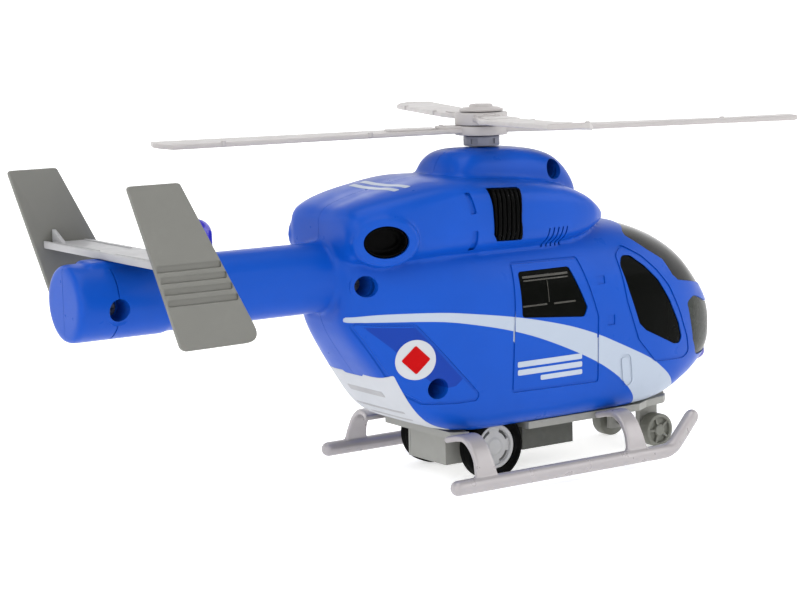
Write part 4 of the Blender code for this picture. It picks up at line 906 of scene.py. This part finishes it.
def build_exhausts():
    """Oval cups with a rolled rim."""
    outer = grown(EXHAUST_HALF, 0.05)
    rows = [(-6.0, outer), (0.4, outer)]
    for a in (0.5, 1.0, math.pi / 2):
        rows.append((0.4 + 0.5 * math.sin(a), grown(outer, -0.5 * (1 - math.cos(a)))))
    hollow = grown(EXHAUST_HALF, -1.0)
    wide, snug, narrow = (grown(hollow, amount) for amount in (0.35, 0.2, -1.0))
    rim = ((-5.0, grown(hollow, -0.6)), (-4.4, hollow), (-1.0, hollow), (0.9, wide), (4.0, wide))
    cup = cut(exhaust_tube(rows), exhaust_tube(rim))
    step = exhaust_tube(((-4.0, snug), (-3.4, snug)))
    cut(step, exhaust_tube(((-6.0, narrow), (0.0, narrow))))
    finish_both(fuse(cup, step), "exhaust_cup", "exhaust")


def build_lamps():
    low, high = span("nose_light")
    middle = (low + high) / 2
    lens = ellipsoid(middle, (high - low) / 2 + Vector((0.6, 0.6, 0.5)))
    cut(lens, box((-2.4, 2.4), (middle.y + 0.8, middle.y + 10.0), (middle.z - 0.6, middle.z + 5.0)))
    finished(lens, "nose_lens", "lens_violet", replaces=("nose_light",))
    low, high = span("tail_beacon")
    radius = (high.x - low.x) / 2
    start = high.z - radius
    arc = [i * math.pi / 24 for i in range(1, 12)]
    profile = [(2.9, low.z), (radius, low.z), (radius, start)]
    profile += [(radius * math.cos(a), start + radius * math.sin(a)) for a in arc]
    profile += [(0.0, high.z), (0.0, high.z - 1.2)]
    profile += [(2.9 * math.cos(a), start + 2.8 * math.sin(a)) for a in reversed(arc)]
    profile.append((2.9, start))
    dome = revolved(profile, "Z", (0.0, (low.y + high.y) / 2), 64)
    finished(dome, "beacon_dome", "lens_violet", replaces=("tail_beacon",))


# ---------------------------------------------------------------- rotor

BLADE_TIP = 106.8
BLADE_HALF_CHORD = 7.25
NECK_HALF = 4.5
HUB_RADIUS = 8.6
ROTOR_HEADING = math.radians(-22.4)
TIP_LENGTH = 6.0
TIP_RISE = 0.8
ROTOR_BORE = 1.65
LOWER_DISC_HEIGHT = 3.0
# Each bar's heading, how high its blades lie in it, and how far each blade is warped at its tip.
ROTOR_BARS = {
    "lower": (math.pi / 2 + ROTOR_HEADING, 1.5, (-1.9, 0.0)),
    "upper": (ROTOR_HEADING, 2.0, (-0.8, 2.4)),
}


def two_sided(*half):
    """Closes one half of an outline with its mirror image below the first axis."""
    return half + tuple((a, -b) for a, b in reversed(half))


def blade(z, lift):
    """One blade along +X, with a slightly raised clipped tip and a thicker pad near the root.

    lift is how far the warped blade has risen at its tip.
    """
    half = BLADE_HALF_CHORD
    outline = [
        (5.0, NECK_HALF), (11.6, NECK_HALF), (17.6, half * 0.8), (26.6, half),
        (BLADE_TIP - TIP_LENGTH, half), (BLADE_TIP - 1.6, half - 2.2), (BLADE_TIP, half - 5.0),
        (BLADE_TIP, -half + 1.4), (BLADE_TIP - 1.0, -half), (26.6, -half), (17.6, -half * 0.8),
        (11.6, -NECK_HALF), (5.0, -NECK_HALF),
    ]
    plank = bevelled(prism(rounded(outline, 1.6, 4), "Z", z - 0.75, z + 0.75), 0.32, 3)
    for vertex in plank.data.vertices:
        out = (vertex.co.x - BLADE_TIP + TIP_LENGTH) / TIP_LENGTH
        if out > 0.0:
            vertex.co.z += TIP_RISE * min(1.0, out)
    pad = two_sided((15.5, 3.0), (18.0, 4.6), (29.0, 5.2), (31.5, 3.6))
    root = two_sided((3.0, 3.9), (12.0, 3.9), (15.0, 2.6))
    parts = [
        bevelled(prism(rounded(pad, 1.2, 4), "Z", z, z + 1.25), 0.3, 3),
        bevelled(prism(rounded(root, 0.8, 4), "Z", z, z + 1.65), 0.3, 3),
    ]
    for y in (-1.9, 1.9):
        parts.append(bevelled(cylinder(0.75, "Z", z, z + 1.95, (13.0, y), 24), 0.15, 2))
    for x in (38.0, 85.0):
        parts.append(bevelled(cylinder(0.8, "Z", z - 0.5, z + 1.05, (x, half - 0.3), 20), 0.15, 2))
    parts.append(plank)
    for part in parts:
        for vertex in part.data.vertices:
            vertex.co.z += lift * (vertex.co.x / BLADE_TIP) ** 2
    return parts


def disc_profile(radius, low, high, bore=ROTOR_BORE, edge=0.35):
    return (
        (bore, low), (radius - edge, low), (radius - edge * 0.3, low + edge * 0.3),
        (radius, low + edge), (radius, high - edge), (radius - edge * 0.3, high - edge * 0.3),
        (radius - edge, high), (bore, high),
    )


def build_rotor():
    for kind, (heading, rise, lifts) in ROTOR_BARS.items():
        low, high = span(f"rotor_bar_{kind}")
        z = low.z + rise
        top = high.z if kind == "upper" else low.z + LOWER_DISC_HEIGHT
        blades = blade(z, lifts[0]) + [turned(part, math.pi) for part in blade(z, lifts[1])]
        bar = fuse(revolved(disc_profile(HUB_RADIUS, low.z, top), "Z", segments=96), *blades)
        cut(bar, cylinder(ROTOR_BORE, "Z", low.z - 1.0, high.z + 1.0))
        turned(bar, heading)
        node_names = (f"rotor_bar_{kind}",)
        finished(bar, f"rotor_{kind}_moulding", "rotor_grey", "rotor", replaces=node_names)
    low, high = span("rotor_cap")
    profile = (
        (0.0, low.z), (7.0, low.z), (7.2, low.z + 0.2), (7.2, low.z + 0.6), (7.0, low.z + 0.85),
        (6.2, low.z + 0.95), (6.0, low.z + 1.25), (4.2, low.z + 1.3), (3.9, low.z + 1.5),
        (3.8, high.z - 0.3), (3.5, high.z), (2.6, high.z), (2.4, high.z - 0.25),
        (1.9, high.z - 0.25), (1.7, high.z), (0.0, high.z),
    )
    cap = revolved(profile, "Z", segments=96)
    finished(cap, "rotor_cap_moulding", "rotor_grey", "rotor", replaces=("rotor_cap",))
    low, high = span("mast_collar")
    collar = revolved(disc_profile(5.9, low.z, high.z, 1.8, 0.25), "Z", segments=96)
    for i in range(6):
        notch = box((5.2, 7.0), (-1.2, 1.2), (low.z + 0.7, high.z - 0.7))
        cut(collar, turned(notch, 2 * math.pi * i / 6))
    finished(collar, "mast_collar_moulding", "collar_grey", replaces=("mast_collar",))


# ---------------------------------------------------------------- tail

LIP_HEIGHT = 0.6
PLATE_THICKNESS = 1.65
PLATE_HALF_SPAN = 38.2
FIN_OUTLINE = ((148.6, 105.4), (132.6, 105.4), (107.8, 58.6), (133.65, 58.3))
FIN_ROUNDING = (1.2, 1.2, 3.6, 2.2)
FIN_GROOVES_Z = (72.2, 75.5, 78.8, 82.0)
FIN_GROOVE_HALF = 0.95
FIN_GROOVE_MARGIN = 0.45


def edge_at(top, foot, z):
    """y of the straight edge between two outline corners, at a height."""
    return foot[0] + (z - foot[1]) * (top[0] - foot[0]) / (top[1] - foot[1])


def build_tail():
    low, high = span("tailplane")
    body_top = high.z - LIP_HEIGHT
    plate_low = body_top - PLATE_THICKNESS
    across = (-PLATE_HALF_SPAN, PLATE_HALF_SPAN)
    plate = bevelled(box(across, (low.y, high.y), (plate_low, body_top)), 0.3)
    extras = [bevelled(box(across, (high.y - 0.9, high.y), (plate_low + 0.3, high.z)), 0.25)]
    for side in SIDES.values():
        ends = sorted((side * 37.8, side * 39.35))
        extras.append(box(ends, (low.y + 4.0, high.y - 4.0), (plate_low + 0.35, body_top - 0.4)))
        foot, end = body_top - 0.1, side * 38.1
        rib = ((side * 30.0, foot), (end, foot), (end, body_top + 4.0))
        extras.append(bevelled(prism(rib, "Y", low.y + 11.6, low.y + 13.0), 0.2))
        for y in (low.y + 2.0, high.y - 3.4):
            ridge = box(sorted((side * 6.0, side * 37.0)), (y, y + 1.0), (plate_low, body_top + 0.35))
            extras.append(bevelled(ridge, 0.2))
    for y in (low.y + 5.0, high.y - 5.0):
        extras.append(cylinder(1.6, "Z", low.z, body_top - 0.3, (0.0, y)))
    fuse(plate, *extras)
    finished(plate, "tailplane_moulding", "wing_grey", replaces=("tailplane",))
    socket = ((low.y + 3.85, high.y - 3.85), (high.z - 2.05, high.z - 0.8))
    for name, side in SIDES.items():
        inner, outer = side_range(f"fin_{name}")
        fin = prism(rounded(FIN_OUTLINE, FIN_ROUNDING, 8), "X", side * inner, side * outer)
        bevelled(fin, 0.35)
        cut(fin, box(sorted((side * (inner - 1.0), side * (inner + 0.9))), *socket))
        for z in FIN_GROOVES_Z:
            front = edge_at(FIN_OUTLINE[1], FIN_OUTLINE[2], z) + FIN_GROOVE_MARGIN
            rear = edge_at(FIN_OUTLINE[0], FIN_OUTLINE[3], z) - FIN_GROOVE_MARGIN
            groove = rectangle((front, rear), (z - FIN_GROOVE_HALF, z + FIN_GROOVE_HALF))
            cut(fin, prism(rounded(groove, 0.5), "X", side * (outer - 0.6), side * (outer + 1.0)))
        finished(fin, f"fin_{name}_moulding", "tail_grey", replaces=(f"fin_{name}",))


# ---------------------------------------------------------------- skids and wheels

SKID_X = 37.4
SKID_RADIUS = 2.4
SKID_LENGTH = 118.0
SKID_PATH = ((41.0, 4.7), (-44.0, 4.7), (-47.4, 5.3), (-50.2, 7.4), (-58.4, 16.5))
STRUTS_Y = (27.8, -33.0)
STRUT_PATH = (
    (37.4, 4.6), (37.0, 8.0), (35.6, 12.0), (33.2, 15.4), (29.6, 17.6), (25.6, 17.4), (22.6, 16.6),
)
STRUT_HALVES = (4.9, 3.9, 3.4, 3.4, 3.5, 4.2, 5.4)
STRUT_THICKNESS = 2.0


def path_normals(points):
    result = []
    for i in range(len(points)):
        along = (points[min(i + 1, len(points) - 1)] - points[max(i - 1, 0)]).normalized()
        result.append(Vector((-along.y, along.x)))
    return result


def swept(path, count, ring_at):
    """A solid along a smoothed path of (a, b) points; ring_at(t, point, normal) gives each ring."""
    points = [Vector(row[:2]) for row in smooth_rows(path, count)]
    normals = path_normals(points)
    steps = range(len(points))
    return bridged([ring_at(i / (count - 1), points[i], normals[i]) for i in steps])


def skid(side):
    def tube_ring(t, point, normal):
        from_end = min(t, 1 - t) * SKID_LENGTH
        radius = SKID_RADIUS * math.sqrt(1 - (1 - min(1.0, from_end / SKID_RADIUS + 0.04)) ** 2)
        ring = []
        for a, b in circle(radius, 36):
            offset = normal * b
            ring.append((side * (SKID_X + a), point.x + offset.x, point.y + offset.y))
        return ring

    (rear, height), (front, _) = SKID_PATH[:2]
    straight = [(rear - (rear - front) * i / 8, height) for i in range(8)]
    parts = [swept(straight + list(SKID_PATH[1:]), 360, tube_ring)]
    for y in STRUTS_Y:
        def strut_ring(t, point, normal, y=y):
            count = len(STRUT_HALVES)
            half = float(np.interp(t * (count - 1), range(count), STRUT_HALVES))
            ring = []
            thick = STRUT_THICKNESS / 2
            outline = rounded(rectangle((-half, half), (-thick, thick)), 0.7, 4)
            for across, out in outline:
                offset = normal * out
                ring.append((side * (point.x + offset.x), y + across, point.y + offset.y))
            return ring

        parts.append(swept(STRUT_PATH, 40, strut_ring))
    return remeshed(joined(*parts), 0.36, 4)


def tyre(side, low, high, radius, inner):
    """A soft tyre with rounded shoulders and a fine crown line."""
    profile = [(inner, low), (radius - 1.6, low + 0.05)]
    for i in range(1, 6):
        a = math.pi / 2 * i / 6
        profile.append((radius - 1.3 + 1.3 * math.sin(a), low + 0.1 + 1.3 * (1 - math.cos(a))))
    middle = (low + high) / 2
    profile += [(radius, middle - 0.2), (radius - 0.08, middle), (radius, middle + 0.2)]
    for i in range(5, 0, -1):
        a = math.pi / 2 * i / 6
        profile.append((radius - 1.3 + 1.3 * math.sin(a), high - 0.1 - 1.3 * (1 - math.cos(a))))
    profile += [(radius - 1.6, high - 0.05), (radius - 2.2, high - 0.25), (inner, high - 0.25)]
    return revolved([(r, side * x) for r, x in profile], "X", joint_centre("rear_axle_spin"), 128)


# The hub's slots: the radius of each arc, and the direction it runs in.
HUB_SLOT_ARCS = ((5.75, 1), (4.75, -1))


def rear_hub(side, low, high, rim):
    centre = joint_centre("rear_axle_spin")
    profile = (
        (1.35, low), (rim, low), (rim, high - 0.3), (rim - 0.25, high), (rim - 0.9, high),
        (rim - 1.2, high - 0.25), (rim - 1.3, high - 0.8), (3.1, high - 0.8), (2.8, high - 0.65),
        (2.5, high - 0.3), (2.2, high - 0.2), (0.0, high - 0.2), (0.0, high - 0.7),
        (1.35, high - 0.7),
    )
    hub = revolved([(r, side * x) for r, x in profile], "X", centre, 128)
    for i in range(4):
        middle = 2 * math.pi * (i + 0.5) / 4
        steps = [middle + math.radians(step) for step in range(-24, 25, 4)]
        slot = [(radius, a) for radius, order in HUB_SLOT_ARCS for a in steps[::order]]
        slot = [(centre[0] + r * math.cos(a), centre[1] + r * math.sin(a)) for r, a in slot]
        cut(hub, prism(rounded(slot, 0.3, 2), "X", side * (low - 1.0), side * (high + 1.0)))
    return hub


def front_wheel(side, low, high, radius):
    centre = joint_centre("front_axle_spin")
    rim, floor = radius - 1.3, high - 1.3
    profile = (
        (1.15, low), (radius - 0.4, low), (radius - 0.1, low + 0.15), (radius, low + 0.45),
        (radius, high - 0.5), (radius - 0.15, high - 0.15), (radius - 0.5, high), (rim + 0.3, high),
        (rim, high - 0.3), (rim, floor), (2.1, floor), (2.0, high - 0.2), (1.75, high), (0.0, high),
        (0.0, high - 1.1), (1.15, high - 1.1),
    )
    wheel = revolved([(r, side * x) for r, x in profile], "X", centre, 96)
    for i in range(5):
        reach = sorted((side * (floor - 0.3), side * (high - 0.45)))
        spoke = bevelled(box(reach, (1.8, rim + 0.4), (-0.42, 0.42)), 0.12, 2)
        turn = Matrix.Rotation(2 * math.pi * i / 5, 4, "X")
        spoke.data.transform(Matrix.Translation((0.0, *centre)) @ turn)
        fuse(wheel, spoke)
    return wheel


def build_running_gear():
    for name, side in SIDES.items():
        finished(skid(side), f"skid_{name}_moulding", "skid_grey", replaces=(f"skid_{name}",))
        rubber, hub, caster = f"tyre_{name}", f"rear_hub_{name}", f"front_wheel_{name}"
        rim = wheel_radius(hub)
        piece = tyre(side, *side_range(rubber), wheel_radius(rubber), rim + 0.15)
        finished(piece, f"{rubber}_rubber", "tyre_rubber", "rear_wheels", replaces=(rubber,))
        piece = rear_hub(side, *side_range(hub), rim)
        finished(piece, f"{hub}_moulding", "wheel_grey", "rear_wheels", replaces=(hub,))
        piece = front_wheel(side, *side_range(caster), wheel_radius(caster))
        finished(piece, f"{caster}_moulding", "caster_grey", "front_wheels", replaces=(caster,))


# ---------------------------------------------------------------- decals

DECAL_PROUD = 0.07
DECAL_DEPTH = 0.12
PRINT_PROUD = DECAL_PROUD + 0.06
LABEL_NORMAL = Vector((0.0, 0.8, -0.6))


def side_place(side):
    """Maps (y, z) to a ray that looks at one side."""
    return lambda a, b: (Vector((side * 60.0, a, b)), Vector((-side, 0.0, 0.0)))


def top_place(a, b):
    return Vector((a, b, 140.0)), Vector((0.0, 0.0, -1.0))


def label_place(a, b):
    """Maps (x, distance along the rear slope) to a ray against the slope."""
    along = Vector((0.0, 0.6, 0.8))
    return Vector((a, 0.0, 0.0)) + along * b + LABEL_NORMAL * 60.0, -LABEL_NORMAL


def resampled(outline, spacing):
    points = [Vector(point) for point in outline]
    result = []
    for a, b in zip(points, points[1:] + points[:1]):
        count = max(1, round((b - a).length / spacing))
        result += [a.lerp(b, i / count) for i in range(count)]
    return result


def decal(outline, place, rings=8, spacing=0.6, proud=DECAL_PROUD):
    """A thin solid that follows the skin inside a star-shaped outline."""
    edge = resampled(outline, spacing)
    middle = sum(edge, Vector((0.0, 0.0))) / len(edge)

    def on_skin(point, lift):
        origin, direction = place(point.x, point.y)
        hit, normal, _, _ = skin.ray_cast(origin, direction)
        return hit + (normal if normal.dot(direction) < 0 else -normal) * lift

    bm = bmesh.new()
    layers = []
    for lift in (proud, proud - DECAL_DEPTH):
        rows = [[bm.verts.new(on_skin(middle, lift))]]
        for step in range(1, rings + 1):
            t = step / rings
            rows.append([bm.verts.new(on_skin(middle.lerp(point, t), lift)) for point in edge])
        layers.append(rows)
    for rows, flip in zip(layers, (False, True)):
        for first, second in zip(rows, rows[1:]):
            band(bm, first, second, flip)
    band(bm, layers[0][-1], layers[1][-1])
    return new_object("decal", bm)


STICKER_CENTRE = (43.0, 43.3)
STICKER_RADIUS = 6.3
LABEL = (
    (-19.0, 32.0), (19.0, 32.0), (19.0, 60.6), (6.0, 61.4), (4.8, 60.4), (-4.8, 60.4), (-6.0, 61.4),
    (-19.0, 60.6),
)
DOOR_BARS = (
    ((-19.0, 7.0), (37.2, 39.0)),
    ((-19.0, 7.0), (34.6, 36.4)),
    ((-19.0, -2.0), (32.2, 33.8)),
)
TOP_BARS_Y = ((38.4, 40.6), (42.6, 44.8))
TOP_BARS_X = (-15.0, 11.0)
LABEL_BARS = (
    ((-14.0, 14.0), (37.0, 38.0)),
    ((-14.0, 9.0), (41.0, 42.0)),
    ((-14.0, 13.0), (45.0, 46.0)),
    ((-10.0, 10.0), (52.0, 54.4)),
)


def diamond(centre, half):
    y, z = centre
    return [(y - half, z), (y, z + half), (y + half, z), (y, z - half)]


def build_decals():
    label = decal(rounded(LABEL, 0.8, 3), label_place, 30, 1.0)
    finished(label, "rear_label", "paper")
    for number, bar in enumerate(LABEL_BARS, 1):
        piece = decal(rounded(rectangle(*bar), 0.3, 3), label_place, 6, 0.8, PRINT_PROUD)
        finished(piece, f"label_bar_{number}", "print_grey")
    for name, side in SIDES.items():
        place = side_place(side)
        ground = decal(circle(STICKER_RADIUS, 72, STICKER_CENTRE), place, 12)
        finished(ground, f"sticker_{name}_ground", "paper")
        mark = decal(rounded(diamond(STICKER_CENTRE, 4.6), 0.6, 3), place, 8, 0.5, PRINT_PROUD)
        finished(mark, f"sticker_{name}_mark", "print_red")
        for number, bar in enumerate(DOOR_BARS, 1):
            piece = decal(rounded(rectangle(*bar), 0.5, 3), place, 6, 0.8)
            finished(piece, f"door_bar_{name}_{number}", "print_white")
    for number, (low, high) in enumerate(TOP_BARS_Y, 1):
        piece = decal(rounded(rectangle(TOP_BARS_X, (low, high)), 0.5, 3), top_place, 6, 0.8)
        finished(piece, f"roof_bar_{number}", "print_white")


build_windows()
build_intakes()
build_exhausts()
build_lamps()
build_rotor()
build_tail()
build_running_gear()
build_decals()

# ---------------------------------------------------------------- stage

CAMERA_PLACE = (-0.5525, 0.3796, 0.1539)
CAMERA_YAW = 0.5921
CAMERA_PITCH = 0.1419
CAMERA_ROLL = -0.0237
CAMERA_LENS = 94.66
FLOOR_RADIUS = 2.4
FLOOR_CURVE = 1.2
WALL_TOP = 3.0
WORLD_STRENGTH = 0.38
LIGHT_TARGET = (0.0, 0.0, 0.06)
# Name, place, size and power of each light.
SOFTBOXES = (
    ("top_softbox", (-0.2, 0.1, 1.3), (1.0, 1.4), 8.8),
    ("front_softbox", (-0.7, -1.0, 0.7), (0.8, 0.8), 2.0),
    ("back_softbox", (-0.6, 1.2, 0.8), (0.8, 0.8), 2.5),
)


def make_camera():
    forward = Vector(
        (
            math.cos(CAMERA_YAW) * math.cos(CAMERA_PITCH),
            -math.sin(CAMERA_YAW) * math.cos(CAMERA_PITCH),
            -math.sin(CAMERA_PITCH),
        )
    )
    level = forward.cross(Vector((0.0, 0.0, 1.0))).normalized()
    upright = level.cross(forward)
    right = math.cos(CAMERA_ROLL) * level + math.sin(CAMERA_ROLL) * upright
    top = math.cos(CAMERA_ROLL) * upright - math.sin(CAMERA_ROLL) * level
    camera = linked("camera", bpy.data.cameras.new("camera"))
    turn = Matrix((right, top, -forward)).transposed()
    camera.matrix_world = Matrix.Translation(CAMERA_PLACE) @ turn.to_4x4()
    camera.data.lens = CAMERA_LENS
    camera.data.sensor_width = 36.0
    camera.data.clip_start = 0.01
    bpy.context.scene.camera = camera


def area_light(name, place, size, power):
    light = bpy.data.lights.new(name, "AREA")
    light.shape = "RECTANGLE"
    light.size, light.size_y = size
    light.energy = power
    lamp = linked(name, light)
    lamp.location = place
    lamp.rotation_mode = "QUATERNION"
    lamp.rotation_quaternion = (Vector(LIGHT_TARGET) - Vector(place)).to_track_quat("-Z", "Y")


def make_stage():
    """A pale floor that curves up into a far round wall, and soft lights."""
    profile = [(0.0, 0.0), (FLOOR_RADIUS, 0.0)]
    for a in np.linspace(0.2, math.pi / 2, 8):
        out, up = FLOOR_CURVE * math.sin(a), FLOOR_CURVE * math.cos(a)
        profile.append((FLOOR_RADIUS + out, FLOOR_CURVE - up))
    profile.append((FLOOR_RADIUS + FLOOR_CURVE, WALL_TOP))
    bm = bmesh.new()
    rows = []
    for radius, height in profile:
        points = circle(radius, 96) if radius else [(0.0, 0.0)]
        rows.append([bm.verts.new((a, b, height)) for a, b in points])
    for first, second in zip(rows, rows[1:]):
        band(bm, first, second)
    floor = mesh_object("floor", bm)
    floor.data.shade_smooth()
    glow = {"Emission_Color": (1.0, 1.0, 1.0, 1.0), "Emission_Strength": 0.6}
    paint_look = {"wear": 0.0, "patches": 0.01, "bump": 0.02, **glow}
    floor.data.materials.append(material("floor_paint", (0.84, 0.84, 0.84), 0.9, **paint_look))
    world = bpy.data.worlds.new("studio")
    bpy.context.scene.world = world
    world.use_nodes = True
    background = world.node_tree.nodes["Background"]
    background.inputs["Color"].default_value = (1.0, 1.0, 1.0, 1.0)
    background.inputs["Strength"].default_value = WORLD_STRENGTH
    for softbox in SOFTBOXES:
        area_light(*softbox)
    bpy.context.scene.view_settings.view_transform = "Standard"


# Parts under the body that get the darker grey of painted shade instead of their own material.
NODE_PAINTED_SHADE = dict.fromkeys(("base_plate", "gearbox_case", "gearbox_cover"), "belly_painted_shade_grey")
BEVELLED_NODES = {
    "base_plate": 0.35,
    "gearbox_case": 0.5,
    "gearbox_cover": 0.4,
    "battery_box": 0.6,
    "battery_door": 0.3,
    "switch_body": 0.2,
    "switch_knob": 0.2,
    "circuit_board": 0.1,
}


def dress_frame():
    """Gives every carried-over CAD node the material of its slot, except the parts under the body, which get a
    darker grey as painted shade, and softens its moulded edges.
    """
    for row in frame["record"]["subparts"]:
        cad_node = frame["nodes"][row["node"]]
        cad_node.data.materials.clear()
        cad_node.data.materials.append(MATERIALS[NODE_PAINTED_SHADE.get(row["node"], row["material_slot"])])
        if row["node"] in BEVELLED_NODES:
            bevel = cad_node.modifiers.new("Bevel", "BEVEL")
            bevel.width = BEVELLED_NODES[row["node"]] * MM
            bevel.segments = 3
            bevel.limit_method = "ANGLE"
            bevel.angle_limit = math.radians(40)


make_camera()
make_stage()
dress_frame()
